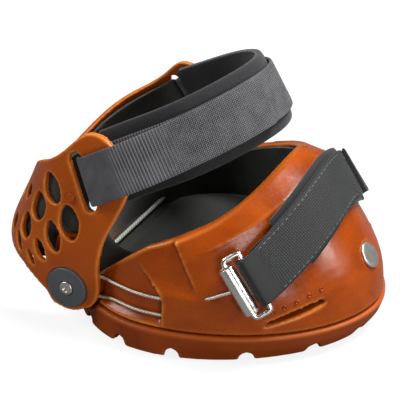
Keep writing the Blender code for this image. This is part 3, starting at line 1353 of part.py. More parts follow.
def build_pastern_strap(cup):
    """The strap over the pastern, its pad and the flap that swings open on the right."""
    web = finish("webbing", BLACK, CLOTH)
    foam = finish("neoprene", FOAM_BLACK, CLOTH)
    fold = PASTERN_FOLD_RADIUS + WEB_THICKNESS / 2.0
    inside = PASTERN_FOLD_RADIUS + WEB_THICKNESS * 1.5 + PASTERN_FLAP_CLEARANCE
    outside = WEB_THICKNESS + STITCH_GAP

    def merged(turn, at_ear, beyond):
        forward, _ = pastern_point(turn)
        return at_ear + (beyond - at_ear) * smoothstep(forward, PASTERN_EAR_LENGTH, PASTERN_MERGE_LENGTH)

    half_turns = np.linspace(0.0, 1.0, PASTERN_HALF_POINTS)
    turns = np.concatenate([-half_turns[:0:-1], half_turns])
    at_ear = np.where(turns < 0.0, -inside, -fold)
    strap = pastern_line(turns, merged(turns, at_ear, 0.0))
    start = strap[0] - np.array([fold, 0.0])
    loop_turns = np.linspace(1.0, 0.0, PASTERN_LOOP_POINTS)
    loop_turns = loop_turns[pastern_point(loop_turns)[0] < PASTERN_LOOP_LENGTH]
    leaf = pastern_line(loop_turns, merged(loop_turns, fold, outside))
    arc = fold_arc(1.0, math.pi, 0.0, fold, FOLD_POINTS)
    middle = np.vstack([start, strap, arc[1:-1], leaf])
    new_object("pastern_strap", pastern_band("pastern_strap", middle, WEB_THICKNESS, WEB_WIDTH), web, cup)

    pad_drop = (WEB_THICKNESS + PASTERN_PAD_THICKNESS) / 2.0 + PAD_CLEARANCE
    pad_turns = turns[pastern_point(turns)[0] >= PASTERN_PAD_START]
    at_ear = np.where(pad_turns < 0.0, -inside, -fold) - pad_drop
    pad = pastern_line(pad_turns, merged(pad_turns, at_ear, -pad_drop))
    pad_mesh = pastern_band("pastern_pad", pad, PASTERN_PAD_THICKNESS, PASTERN_PAD_WIDTH)
    new_object("pastern_pad", pad_mesh, foam, cup)

    pivot = new_pivot("pastern_flap_pivot", pastern_axis(-1.0), cup)
    flap_turns = np.linspace(-1.0, -PASTERN_FLAP_END_SHARE, PASTERN_FLAP_POINTS)
    flap = pastern_line(flap_turns, merged(flap_turns, fold, outside))
    tail = fold_arc(-1.0, PASTERN_TAIL_TURN, 0.0, fold, FOLD_POINTS)
    middle = np.vstack([tail[:-1], flap])
    new_object("pastern_flap", pastern_band("pastern_flap", middle, WEB_THICKNESS, WEB_WIDTH), web, pivot)


# Toe strap

def toe_line(shares):
    """The toe strap's line on the wall and its frame, from the right bar at -1 to the left bar at 1."""
    end_angle, foot_height, lift, long_axis = toe_foot()
    crease = float(crease_height(np.array([0.0]))[0])
    crown = crease - TOE_PAD_WIDTH / 2.0 * math.sin(TOE_ANGLE) + TOE_CROWN_RISE
    rise = 1.0 - np.abs(shares) ** TOE_PATH_POWER
    height = foot_height + (crown - foot_height) * rise
    spot = plan_point(end_angle * shares, height)
    normal = outward_normal(end_angle * shares, height)
    run = np.gradient(spot, axis=0)
    width = np.cross(normal, run)
    width = width / np.linalg.norm(width, axis=1, keepdims=True)
    bars = np.where(shares[:, None] < 0.0, mirrored(long_axis, -1.0), long_axis)
    bars = bars * np.sign((bars * width).sum(axis=1))[:, None]
    blend = smoothstep(np.abs(shares), TOE_MERGE_SHARE, 1.0)[:, None]
    width = width * (1.0 - blend) + bars * blend
    width = width / np.linalg.norm(width, axis=1, keepdims=True)
    return spot, normal, width, lift


def outward_normal(angle, height):
    """The wall's normal, turned away from the boot's middle."""
    normal = shell_normal(angle, height)
    spot = plan_point(angle, height)
    outward = normal[:, 0] * (spot[:, 0] - WIDEST_X) + normal[:, 1] * spot[:, 1]
    return normal * np.sign(outward)[:, None]


def toe_foot():
    """The wall's angle and height straight under the left strap bar, and the bar's height above it."""
    place, long_axis, across = buckle_axes()
    bar = np.array(place + across * RING_REACH)
    foot = bar
    for _ in range(FOOT_STEPS):
        level = np.array([foot[2]])
        angle = angle_at(np.array([foot[0]]), level)
        spot = plan_point(angle, level)[0]
        normal = outward_normal(angle, level)[0]
        lift = float((bar - spot).dot(normal))
        foot = bar - normal * lift
    return float(angle[0]), float(level[0]), lift, np.array(long_axis)


def toe_band(name, shares, lifts, thickness, width, fold_points=None):
    """A strap over the toe at a height above the wall for each share, led by a fold if one is given."""
    spot, normal, across, _ = toe_line(shares)
    middle = spot + normal * lifts[:, None]
    if fold_points is not None:
        middle = np.vstack([fold_points, middle])
        across = np.vstack([np.repeat(across[:1], len(fold_points), axis=0), across])
    run = np.gradient(middle, axis=0)
    out = np.cross(across, run)
    out = out / np.linalg.norm(out, axis=1, keepdims=True) * thickness / 2.0
    grids = []
    for line in (middle + out, middle - out):
        grids.append(np.stack([line - across * width / 2.0, line + across * width / 2.0], axis=1))
    return slab(name, grids[0], grids[1])


def toe_fold(side, start, stop, count):
    """Points of a fold round a strap bar, by angle from straight outward, turning away from the toe."""
    spot, normal, across, lift = toe_line(side * np.array(TOE_BAR_SHARES))
    bar = spot[0] + normal[0] * lift
    away = np.cross(across[0], normal[0])
    if away.dot(spot[0] - spot[1]) < 0.0:
        away = -away
    radius = TOE_FOLD_RADIUS + WEB_THICKNESS / 2.0
    turns = np.linspace(start, stop, count)[:, None]
    return bar + radius * (np.cos(turns) * normal[0] + np.sin(turns) * away)


def build_toe_strap(pivot):
    """The toe strap's pad, its inner layer with a sewn loop on the left, and its swinging flap."""
    web = finish("webbing", BLACK, CLOTH)
    foam = finish("neoprene", FOAM_BLACK, CLOTH)
    pad_middle = COLLAR_STEP + GAP + TOE_PAD_THICKNESS / 2.0
    strap_middle = pad_middle + (TOE_PAD_THICKNESS + WEB_THICKNESS) / 2.0 + GAP
    top_middle = strap_middle + WEB_THICKNESS + STITCH_GAP
    lift = toe_foot()[2]
    fold = TOE_FOLD_RADIUS + WEB_THICKNESS / 2.0

    def merged(shares, at_bar, beyond):
        return beyond + (at_bar - beyond) * smoothstep(np.abs(shares), TOE_MERGE_SHARE, 1.0)

    pad_shares = np.linspace(-TOE_PAD_SHARE, TOE_PAD_SHARE, TOE_PAD_POINTS)
    pad_lifts = np.full_like(pad_shares, pad_middle)
    pad = toe_band("toe_strap_pad", pad_shares, pad_lifts, TOE_PAD_THICKNESS, TOE_PAD_WIDTH)
    new_object("toe_strap_pad", pad, foam)

    shares = np.linspace(1.0, -TOE_STRAP_END_SHARE, TOE_STRAP_POINTS)
    leaf_shares = np.linspace(TOE_LOOP_SHARE, 1.0, TOE_LOOP_POINTS)
    spot, normal, _, _ = toe_line(leaf_shares)
    leaf = spot + normal * merged(leaf_shares, lift + fold, top_middle)[:, None]
    arc = toe_fold(1.0, 0.0, math.pi, FOLD_POINTS)
    lead = np.vstack([leaf, arc[1:-1]])
    strap = toe_loop_band("toe_strap", lead, leaf_shares, shares, merged(shares, lift - fold, strap_middle))
    new_object("toe_strap", strap, web)

    flap_shares = np.linspace(-1.0, TOE_FLAP_SHARE, TOE_FLAP_POINTS)
    tail = toe_fold(-1.0, TOE_TAIL_TURN, 0.0, FOLD_POINTS)
    flap = toe_band("toe_flap", flap_shares, merged(flap_shares, lift + fold, top_middle),
                    WEB_THICKNESS, WEB_WIDTH, tail[:-1])
    new_object("toe_flap", flap, web, pivot)


def toe_loop_band(name, lead, lead_shares, shares, lifts):
    """The inner strap with its sewn loop: an outer leaf, the fold round the bar and the layer beneath."""
    spot, normal, across, _ = toe_line(shares)
    _, _, lead_across, _ = toe_line(lead_shares)
    fold_count = len(lead) - len(lead_across)
    widths = np.vstack([lead_across, np.repeat(across[:1], fold_count, axis=0), across])
    widths = widths * np.sign((widths * widths[0]).sum(axis=1))[:, None]
    middle = np.vstack([lead, spot + normal * lifts[:, None]])
    run = np.gradient(middle, axis=0)
    out = np.cross(widths, run)
    out = out / np.linalg.norm(out, axis=1, keepdims=True) * WEB_THICKNESS / 2.0
    grids = []
    for line in (middle + out, middle - out):
        grids.append(np.stack([line - widths * WEB_WIDTH / 2.0, line + widths * WEB_WIDTH / 2.0], axis=1))
    return slab(name, grids[0], grids[1])


def main():
    """Builds the boot."""
    clear_scene()
    build_tread_sole()
    build_hoof_shell()
    build_toe_rivet()
    build_linings()
    cup = new_pivot("heel_cup_pivot", (HUB_X, 0.0, HUB_HEIGHT))
    build_cables(cup)
    build_buckles()
    build_hubs(cup)
    build_heel_cup(cup)
    build_cup_liner(cup)
    build_pastern_strap(cup)
    bar, _ = strap_bar(-1.0)
    build_toe_strap(new_pivot("toe_flap_pivot", bar))


main()
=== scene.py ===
"""The look of a horse hoof boot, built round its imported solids."""
import logging
import math
from dataclasses import dataclass
from enum import Enum

import bmesh
import bpy
import numpy as np
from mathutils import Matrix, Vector


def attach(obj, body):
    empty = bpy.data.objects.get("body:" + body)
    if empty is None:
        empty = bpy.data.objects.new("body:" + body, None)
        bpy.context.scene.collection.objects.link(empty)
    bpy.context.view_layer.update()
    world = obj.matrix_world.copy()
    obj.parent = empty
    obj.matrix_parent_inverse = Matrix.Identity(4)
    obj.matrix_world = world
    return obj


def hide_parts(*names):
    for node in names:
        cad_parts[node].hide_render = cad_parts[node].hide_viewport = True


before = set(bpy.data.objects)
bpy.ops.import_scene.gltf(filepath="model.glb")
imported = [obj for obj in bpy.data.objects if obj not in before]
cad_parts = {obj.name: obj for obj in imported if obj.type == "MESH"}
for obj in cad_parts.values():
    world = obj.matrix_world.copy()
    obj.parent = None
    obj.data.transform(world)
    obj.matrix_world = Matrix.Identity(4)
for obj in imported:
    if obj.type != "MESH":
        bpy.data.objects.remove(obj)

LOG = logging.getLogger("hoof_boot")
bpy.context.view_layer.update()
MM = 0.001
GAP = 0.3 * MM
HOLE_CLEARANCE = 0.3 * MM
CUT_OVERRUN = 6.0 * MM
UP = np.array([0.0, 0.0, 1.0])
FORWARD = np.array([1.0, 0.0, 0.0])
SIDEWAYS = np.array([0.0, 1.0, 0.0])
# Angles in degrees over which an edge shows sharp
CAST, SOFT, METAL, FINE, TURNED = 180.0, 60.0, 50.0, 40.0, 35.0
# Small step of an angle, for a slope
NUDGE = 0.01
EASE_SAMPLES = 7
ROUTE_SAMPLES = 24
ROUND_COLUMNS = 320
BAND_COLUMNS = 44
WEBBING_SQUARENESS = 7.0
PAD_SQUARENESS = 5.0
# Size of a sweep's outline at its very ends
WIRE_END, BAND_END, PAD_END = 0.85, 0.97, 0.93
# How strongly a turn of the surface counts towards the pale edges (rubbing and painted highlight) or the
# painted shade of corners, the turn it starts from, and how far it spreads
TURN_GAIN, TURN_START, TURN_RINGS = 6.0, 0.15, 3
# Points round a turned piece or a wire
SEAT_SIDES, RIVET_SIDES, TURNED_SIDES, SCREW_SIDES, STUD_SIDES, HOLE_SIDES = 96, 72, 64, 48, 40, 32
PIP_SIDES, RING_SIDES, WIRE_SIDES = 20, 16, 12
Mesh = bpy.types.Mesh
Number = float | np.ndarray


class Side(Enum):
    """The boot's two sides, with the sign of Y on each."""

    RIGHT = -1.0
    LEFT = 1.0

    @property
    def tag(self) -> str:
        """The word that ends a piece's name."""
        return self.name.lower()


# Mathematics shared by the pieces

def softplus(value: Number, softness: float) -> Number:
    """Zero below zero and straight above it: softness * log(1 + exp(value / softness))."""
    return softness * np.logaddexp(0.0, value / softness)


def smoothstep(value: Number, low: float, high: float) -> Number:
    """Rises from 0 at low to 1 at high as 3 t^2 - 2 t^3."""
    share = np.clip((value - low) / (high - low), 0.0, 1.0)
    return share * share * (3.0 - 2.0 * share)


def power_of(value: Number, power: Number) -> Number:
    """The size of a value raised to a power, with its sign kept."""
    return np.sign(value) * np.abs(value) ** power


def between(start: Number, stop: Number, share: Number) -> Number:
    """The value a share of the way from start to stop."""
    return start + (stop - start) * share


def eased(value: Number, places, heights, reach: float) -> Number:
    """A line through listed points with rounded corners: its mean over a short reach each way."""
    shifts = np.linspace(-reach, reach, EASE_SAMPLES)
    return sum(np.interp(value + shift, places, heights) for shift in shifts) / EASE_SAMPLES


def unit(vectors) -> np.ndarray:
    """The vectors brought to length 1."""
    vectors = np.asarray(vectors, dtype=float)
    return vectors / np.linalg.norm(vectors, axis=-1, keepdims=True)


def mirrored(points, side: Side) -> np.ndarray:
    """Points of the left side carried to a side: Y takes the side's sign."""
    return np.asarray(points, dtype=float) * np.array([1.0, side.value, 1.0])


def all_round(count: int) -> np.ndarray:
    """Even angles right round the boot, from the heel over the right side."""
    return np.linspace(-math.pi, math.pi, count, endpoint=False)


def circle(count: int) -> np.ndarray:
    """Even points round a circle of radius 1, count by 2."""
    turn = np.linspace(0.0, math.tau, count, endpoint=False)
    return np.stack([np.cos(turn), np.sin(turn)], axis=1)


def travelled(points: np.ndarray) -> np.ndarray:
    """Distance along a path to each of its points."""
    return np.concatenate([[0.0], np.cumsum(np.linalg.norm(np.diff(points, axis=0), axis=1))])


def at_distance(wanted: np.ndarray, distances: np.ndarray, points: np.ndarray) -> np.ndarray:
    """Points of a path at wanted distances along it."""
    return np.stack([np.interp(wanted, distances, points[:, axis]) for axis in range(3)], axis=-1)


def smooth_route(points, step: float) -> np.ndarray:
    """Points at an even step along a Catmull-Rom curve through a route.

    Args:
        points: The route's own points.
        step: Distance between the points returned.

    Returns:
        The even points. Between b and c the curve is half of
        2 b + (c - a) t + (2 a - 5 b + 4 c - d) t^2 + (3 b - a - 3 c + d) t^3.
    """
    route = np.asarray(points, dtype=float)
    ends = np.vstack([2 * route[0] - route[1], route, 2 * route[-1] - route[-2]])
    a, b, c, d = (ends[k:len(ends) - 3 + k, None, :] for k in range(4))
    t = np.linspace(0.0, 1.0, ROUTE_SAMPLES, endpoint=False)[None, :, None]
    bend = 2 * b + (c - a) * t + (2 * a - 5 * b + 4 * c - d) * t ** 2 + (3 * b - a - 3 * c + d) * t ** 3
    dense = np.vstack([(bend / 2).reshape(-1, 3), route[-1:]])
    lengths = travelled(dense)
    even = np.linspace(0.0, lengths[-1], max(2, int(round(lengths[-1] / step)) + 1))
    return at_distance(even, lengths, dense)


# Mesh making

def outward(mesh: Mesh, weld: float = 0.0) -> Mesh:
    """The same mesh with its faces turned outwards, and with vertices nearer than weld joined."""
    work = bmesh.new()
    work.from_mesh(mesh)
    if weld:
        bmesh.ops.remove_doubles(work, verts=work.verts, dist=weld)
    bmesh.ops.recalc_face_normals(work, faces=work.faces)
    work.to_mesh(mesh)
    work.free()
    return mesh


def made(points: np.ndarray, faces: list) -> Mesh:
    """A mesh of points and faces. It takes its name from its piece later."""
    mesh = bpy.data.meshes.new("mesh")
    mesh.from_pydata(points.reshape(-1, 3), [], faces)
    return mesh


def quads(grid: np.ndarray) -> np.ndarray:
    """The four neighbours at every cell of a grid."""
    return np.stack([grid[:-1, :-1], grid[:-1, 1:], grid[1:, 1:], grid[1:, :-1]], axis=2)


def mesh_from_grid(grid: np.ndarray, caps: bool = True, wrap_ends: bool = False,
                   uv: np.ndarray | None = None) -> Mesh:
    """A mesh over rings of points: quads between neighbours, with caps on the first and last rings.

    Args:
        grid: Points, rings by columns by 3.
        caps: Whether a face closes each end ring.
        wrap_ends: Whether the last ring joins the first.
        uv: Pattern coordinates, rings by columns + 1 by 2.

    Returns:
        The mesh, with outward faces.
    """
    rows, columns = grid.shape[:2]
    index = np.arange(rows * columns).reshape(rows, columns)
    index = np.concatenate([index, index[:, :1]], axis=1)
    if wrap_ends:
        index = np.concatenate([index, index[:1]], axis=0)
    faces = quads(index).reshape(-1, 4).tolist()
    if caps and not wrap_ends:
        faces += [index[0, :columns][::-1].tolist(), index[-1, :columns].tolist()]
    mesh = made(grid, faces)
    if uv is not None:
        corner = quads(uv).reshape(-1, 2)
        spare = np.zeros((len(mesh.loops) - len(corner), 2))
        mesh.uv_layers.new(name="UVMap").data.foreach_set("uv", np.concatenate([corner, spare]).ravel())
    return outward(mesh)


def slab_mesh(outer: np.ndarray, inner: np.ndarray) -> Mesh:
    """A plate between two grids of the same size, closed round its border by quads."""
    rows, columns = outer.shape[:2]
    count = rows * columns
    index = np.arange(count).reshape(rows, columns)
    face = quads(index).reshape(-1, 4)
    border = np.concatenate([index[0, :-1], index[:-1, -1], index[-1, :0:-1], index[:0:-1, 0]])
    following = np.roll(border, -1)
    edge = np.stack([border, border + count, following + count, following], axis=-1)
    faces = np.concatenate([face, face[:, ::-1] + count, edge])
    return outward(made(np.concatenate([outer.reshape(-1, 3), inner.reshape(-1, 3)]), faces.tolist()))


def turned_mesh(profile, place, direction, segments: int = TURNED_SIDES,
                bore: bool = False) -> Mesh:
    """A turned solid: each profile point (radius, level) becomes a ring round the axis.

    Args:
        profile: Radii and levels along the axis.
        place: Where level 0 lies.
        direction: Way of rising levels.
        segments: Points round a ring.
        bore: Whether the profile closes on itself round a bore.

    Returns:
        The mesh.
    """
    axis = unit(direction)
    first = unit(np.cross(UP if abs(axis[2]) < 0.9 else FORWARD, axis))
    second = np.cross(axis, first)
    outline = np.asarray(profile, dtype=float)[:, :, None, None]
    turn = circle(segments)
    grid = outline[:, 0] * (turn[:, :1] * first + turn[:, 1:] * second) + outline[:, 1] * axis
    return mesh_from_grid(grid + np.asarray(place, dtype=float), caps=not bore, wrap_ends=bore)


def swept_mesh(spine: np.ndarray, across: np.ndarray, out: np.ndarray, profile: np.ndarray,
               end_share: float) -> Mesh:
    """A profile carried along a path: spine + across * profile x + out * profile y.

    Args:
        spine: Path points.
        across: Unit width direction at each point.
        out: Unit thickness direction at each point.
        profile: Outline in those two directions, columns by 2.
        end_share: Size of the outline at the very ends.

    Returns:
        The mesh, with U round the outline and V along the path, both in millimetres.
    """
    size = np.ones(len(spine))
    size[[0, -1]] = end_share
    shape = profile[None] * size[:, None, None]
    grid = spine[:, None] + across[:, None] * shape[..., 0:1] + out[:, None] * shape[..., 1:2]
    round_way = travelled(np.vstack([profile, profile[:1]]))[None] / MM
    uv = np.stack(np.broadcast_arrays(round_way, travelled(spine)[:, None] / MM), axis=-1)
    return mesh_from_grid(grid, uv=uv)


def wire_mesh(points: np.ndarray, radius: float, side_way, sides: int = WIRE_SIDES) -> Mesh:
    """A round wire along points, its section set out from a direction that the path never takes."""
    tangent = unit(np.gradient(points, axis=0))
    across = unit(np.cross(tangent, np.asarray(side_way, dtype=float)))
    return swept_mesh(points, across, np.cross(across, tangent), radius * circle(sides), WIRE_END)


def rounded_corner(radius: float, level: float, edge: float, count: int) -> list[tuple[float, float]]:
    """Radii and levels round the corner of a turned piece."""
    turns = np.linspace(0.0, math.pi / 2, count)
    return [(radius - edge * (1.0 - math.cos(t)), level - edge * (1.0 - math.sin(t))) for t in turns]


def band_profile(width: float, thickness: float, squareness: float) -> np.ndarray:
    """A rounded outline: |x / a|^n + |y / b|^n = 1 for half sizes a and b."""
    return power_of(circle(BAND_COLUMNS), 2.0 / squareness) * np.array([width, thickness]) / 2.0


def in_scene(name: str, data) -> bpy.types.Object:
    """A new object in the scene."""
    thing = bpy.data.objects.new(name, data)
    bpy.context.scene.collection.objects.link(thing)
    return thing


def moulded(base: Mesh, cutters: list[Mesh], voxel: float, rounds: int) -> Mesh:
    """A cast piece: the cutters are taken away, and every edge is rounded by a fine remesh and smoothing.

    Args:
        base: The closed shape before its cuts.
        cutters: Closed shapes to take away.
        voxel: Size of the remesh.
        rounds: Smoothing rounds.

    Returns:
        The rounded mesh, with attributes for rubbing and a painted highlight on its edges and for painted
        shade in its corners.
    """
    holder = bpy.data.collections.new("cutters")
    bpy.context.scene.collection.children.link(holder)
    tools = [bpy.data.objects.new("cutter", mesh) for mesh in cutters]
    for tool in tools:
        holder.objects.link(tool)
    body = in_scene("cast", base)
    taken = body.modifiers.new("cuts", "BOOLEAN")
    taken.operation = "DIFFERENCE"
    taken.operand_type = "COLLECTION"
    taken.collection = holder
    taken.solver = "EXACT"
    cast = body.modifiers.new("cast", "REMESH")
    cast.mode = "VOXEL"
    cast.voxel_size = voxel
    smoothed = body.modifiers.new("smoothed", "SMOOTH")
    smoothed.factor = 0.5
    smoothed.iterations = rounds
    view = bpy.context.evaluated_depsgraph_get()
    mesh = bpy.data.meshes.new_from_object(body.evaluated_get(view), depsgraph=view)
    for thing in [body, *tools]:
        bpy.data.objects.remove(thing)
    bpy.data.collections.remove(holder)
    add_rub_highlight_and_shade(mesh)
    return mesh


def read_out(source, label: str, count: int) -> np.ndarray:
    """One value of every element of a mesh, as rows of three."""
    values = np.empty(count * 3)
    source.foreach_get(label, values)
    return values.reshape(-1, 3)


def add_attribute(mesh: Mesh, label: str, values: np.ndarray) -> None:
    """Stores a number for every vertex."""
    mesh.attributes.new(label, "FLOAT", "POINT").data.foreach_set("value", values)


def add_rub_highlight_and_shade(mesh: Mesh) -> None:
    """Stores how sharply a surface turns: on outer edges, for rubbing and a painted highlight, and in inner
    corners, for painted shade.

    A vertex's turn is the mean of (neighbour - vertex) . normal / distance over its edges, then spread over
    some rings of neighbours.

    Args:
        mesh: The mesh to measure.
    """
    count = len(mesh.vertices)
    spots = read_out(mesh.vertices, "co", count)
    normals = read_out(mesh.vertex_normals, "vector", count)
    pairs = np.empty(len(mesh.edges) * 2, dtype=np.int32)
    mesh.edges.foreach_get("vertices", pairs)
    first, second = pairs.reshape(-1, 2).T
    step = spots[second] - spots[first]
    length = np.maximum(np.linalg.norm(step, axis=1), 1e-9)
    near = np.bincount(first, minlength=count) + np.bincount(second, minlength=count)
    turn = np.bincount(first, (step * normals[first]).sum(1) / length, count)
    turn = (turn - np.bincount(second, (step * normals[second]).sum(1) / length, count)) / np.maximum(near, 1)
    for _ in range(TURN_RINGS):
        spread = np.bincount(first, turn[second], count) + np.bincount(second, turn[first], count)
        turn = (turn + spread) / (near + 1)
    # The first mask pales outer edges, partly rubbing and partly a painted highlight; the second darkens
    # inner corners as painted shade.
    for label, value in (("wear_and_highlight", -turn * TURN_GAIN), ("shade", turn * TURN_GAIN)):
        add_attribute(mesh, label, np.clip(value - TURN_START, 0.0, 1.0))


def joined(meshes: list[Mesh]) -> Mesh:
    """Several meshes put into one."""
    work = bmesh.new()
    for mesh in meshes:
        work.from_mesh(mesh)
    whole = bpy.data.meshes.new("mesh")
    work.to_mesh(whole)
    work.free()
    return whole


@dataclass(frozen=True)
class Thread:
    """The thread of every seam: each stitch is a short hump that dips in at both ends."""

    pitch: float = 3.2 * MM
    length: float = 2.5 * MM
    radius: float = 0.28 * MM
    hump: float = 1.6
    dip: float = 0.7
    thinnest: float = 0.15
    rows: int = 5
    sides: int = 6

    def stitches(self, line: np.ndarray, out: np.ndarray) -> Mesh:
        """A row of stitches along a line on the surface, with the outward direction at its points."""
        lengths = travelled(line)
        starts = np.arange(self.pitch / 2.0, lengths[-1] - self.length, self.pitch)
        share = np.linspace(0.0, 1.0, self.rows)
        spots = starts[:, None] + share[None] * self.length
        up = unit(at_distance(spots, lengths, out))
        lift = self.radius * (self.hump * np.sin(math.pi * share) - self.dip)
        middle = at_distance(spots, lengths, line) + up * lift[None, :, None]
        side_way = np.cross(unit(np.gradient(middle, axis=1)), up)
        turn = circle(self.sides)[None, None]
        thick = self.radius * np.sqrt(np.clip(1.0 - (2.0 * share - 1.0) ** 4, self.thinnest, 1.0))
        ring = turn[..., :1] * side_way[:, :, None] + turn[..., 1:] * up[:, :, None]
        grid = middle[:, :, None] + thick[None, :, None, None] * ring
        count = self.rows * self.sides
        index = np.arange(count).reshape(self.rows, self.sides)
        index = np.concatenate([index, index[:, :1]], axis=1)
        every = quads(index).reshape(-1, 4)[None] + (np.arange(len(starts)) * count)[:, None, None]
        faces = every.reshape(-1, 4).tolist()
        for start in np.arange(len(starts)) * count:
            faces += [(start + index[0, :-1][::-1]).tolist(), (start + index[-1, :-1]).tolist()]
        return outward(made(grid, faces))

    def seams(self, spine: np.ndarray, across: np.ndarray, out: np.ndarray, web: "Webbing",
              inset: float) -> Mesh:
        """Two rows of stitches, an inset from each edge of a band, on its outer face."""
        face = spine + out * web.thickness / 2.0
        half = web.width / 2.0 - inset
        return joined([self.stitches(face + across * sign * half, out) for sign in (1.0, -1.0)])


# Materials

def linear(code: str) -> tuple[float, float, float, float]:
    """An sRGB hex colour turned to linear light."""
    parts = [int(code[k:k + 2], 16) / 255.0 for k in (1, 3, 5)]
    return (*(c / 12.92 if c <= 0.04045 else ((c + 0.055) / 1.055) ** 2.4 for c in parts), 1.0)


def add(tree, kind: str, links: dict | None = None, values: dict | None = None, **settings) -> bpy.types.Node:
    """Adds a node with its settings, its plain values and its links.

    Args:
        tree: The node tree.
        kind: Type of the node, without the words that every type starts with.
        links: Input to the output that feeds it, or to the node whose first output does.
        values: Input to its plain value.
        **settings: Properties of the node.

    Returns:
        The node.
    """
    node = tree.nodes.new("ShaderNode" + kind)
    for key, value in settings.items():
        setattr(node, key, value)
    for key, value in (values or {}).items():
        node.inputs[key].default_value = value
    for key, source in (links or {}).items():
        outlet = source.outputs[0] if isinstance(source, bpy.types.Node) else source
        tree.links.new(outlet, node.inputs[key])
    return node


def emptied(block) -> bpy.types.NodeTree:
    """The node tree of a new material or world, with nothing in it."""
    block.use_nodes = True
    block.node_tree.nodes.clear()
    return block.node_tree


@dataclass(frozen=True)
class Finish:
    """What every finish has: a name and a way to close its nodes."""

    name: str

    def pattern(self, tree: bpy.types.NodeTree) -> tuple:
        """The finish's own nodes, as the arguments of close."""
        raise NotImplementedError

    def build(self) -> bpy.types.Material:
        """Makes the material."""
        material = bpy.data.materials.new(self.name)
        tree = emptied(material)
        self.close(tree, *self.pattern(tree))
        return material

    def close(self, tree, tone, gloss, spread: dict, height: dict, relief: tuple, values: dict) -> None:
        """Puts colour, roughness and relief into the Principled shader and joins that to the output.

        Args:
            tree: The node tree.
            tone: Colour mix.
            gloss: Node whose pattern the roughness follows.
            spread: Limits between which it follows.
            height: Links of the relief.
            relief: Strength and height (m) of the relief.
            values: The shader's plain values.
        """
        rough = add(tree, "MapRange", {"Value": gloss}, spread)
        bump = add(tree, "Bump", height, {"Strength": relief[0], "Distance": relief[1]})
        links = {"Base Color": tone.outputs[2], "Roughness": rough, "Normal": bump}
        shader = add(tree, "BsdfPrincipled", links, values)
        add(tree, "OutputMaterial", {"Surface": shader})


@dataclass(frozen=True)
class Urethane(Finish):
    """Cast thermoplastic urethane: satin, slightly waxy, mottled by its flow, paler on edges where they rub
    and where a highlight is painted, darker in corners where shade is painted.
    """

    pale: str
    deep: str
    # Colour of outer edges: partly rubbed urethane, partly a painted highlight
    edge: str
    rough: float
    coat: float
    # Colour laid into inner corners: painted shade
    corner: str = "#3E1404"
    shine: float = 0.28
    flow_mm: float = 30.0
    speck_mm: float = 1.8
    wave_mm: float = 9.0
    grain_mm: float = 0.7
    grain: float = 0.12
    speck: float = 0.3

    def pattern(self, tree: bpy.types.NodeTree) -> tuple:
        """Flow marks, specks, pale edges (rubbed, with a painted highlight) and painted shade in corners over
        a fine grain.
        """
        spot = add(tree, "TexCoord").outputs["Object"]
        flow = add(tree, "TexNoise", {"Vector": spot},
                   {"Scale": 1.0 / (self.flow_mm * MM), "Detail": 3.0, "Distortion": 0.6})
        share = add(tree, "MapRange", {"Value": flow}, {"From Min": 0.3, "From Max": 0.7})
        tone = add(tree, "Mix", {0: share}, {6: linear(self.deep), 7: linear(self.pale)}, data_type="RGBA")
        speck = add(tree, "TexNoise", {"Vector": spot}, {"Scale": 1.0 / (self.speck_mm * MM), "Detail": 2.0})
        fleck = add(tree, "MapRange", {"Value": speck},
                    {"From Min": 0.6, "From Max": 0.72, "To Max": self.speck})
        wear_and_highlight, shade = (add(tree, "Attribute", attribute_name=label) for label in ("wear_and_highlight", "shade"))
        rub_and_highlight_share, painted_shade_share = wear_and_highlight.outputs["Fac"], shade.outputs["Fac"]
        # Pale outer edges: partly rubbing, partly a painted highlight. Dark inner corners: painted shade.
        for share, colour in ((fleck, self.deep), (rub_and_highlight_share, self.edge), (painted_shade_share, self.corner)):
            tone = add(tree, "Mix", {0: share, 6: tone.outputs[2]}, {7: linear(colour)}, data_type="RGBA")
        grain = add(tree, "TexNoise", {"Vector": spot}, {"Scale": 1.0 / (self.grain_mm * MM), "Detail": 2.0})
        wave = add(tree, "TexNoise", {"Vector": spot}, {"Scale": 1.0 / (self.wave_mm * MM), "Detail": 1.0})
        low = add(tree, "Bump", {"Height": wave}, {"Strength": 0.25, "Distance": 1.0 * MM})
        spread = {"From Min": 0.3, "From Max": 0.7, "To Min": self.rough - 0.06, "To Max": self.rough + 0.08}
        values = {"IOR": 1.5, "Specular IOR Level": self.shine, "Coat Weight": self.coat,
                  "Coat Roughness": 0.16, "Subsurface Weight": 0.12, "Subsurface Scale": 3.0 * MM,
                  "Subsurface Radius": (1.0, 0.25, 0.06)}
        return tone, speck, spread, {"Height": grain, "Normal": low}, (self.grain, 0.2 * MM), values


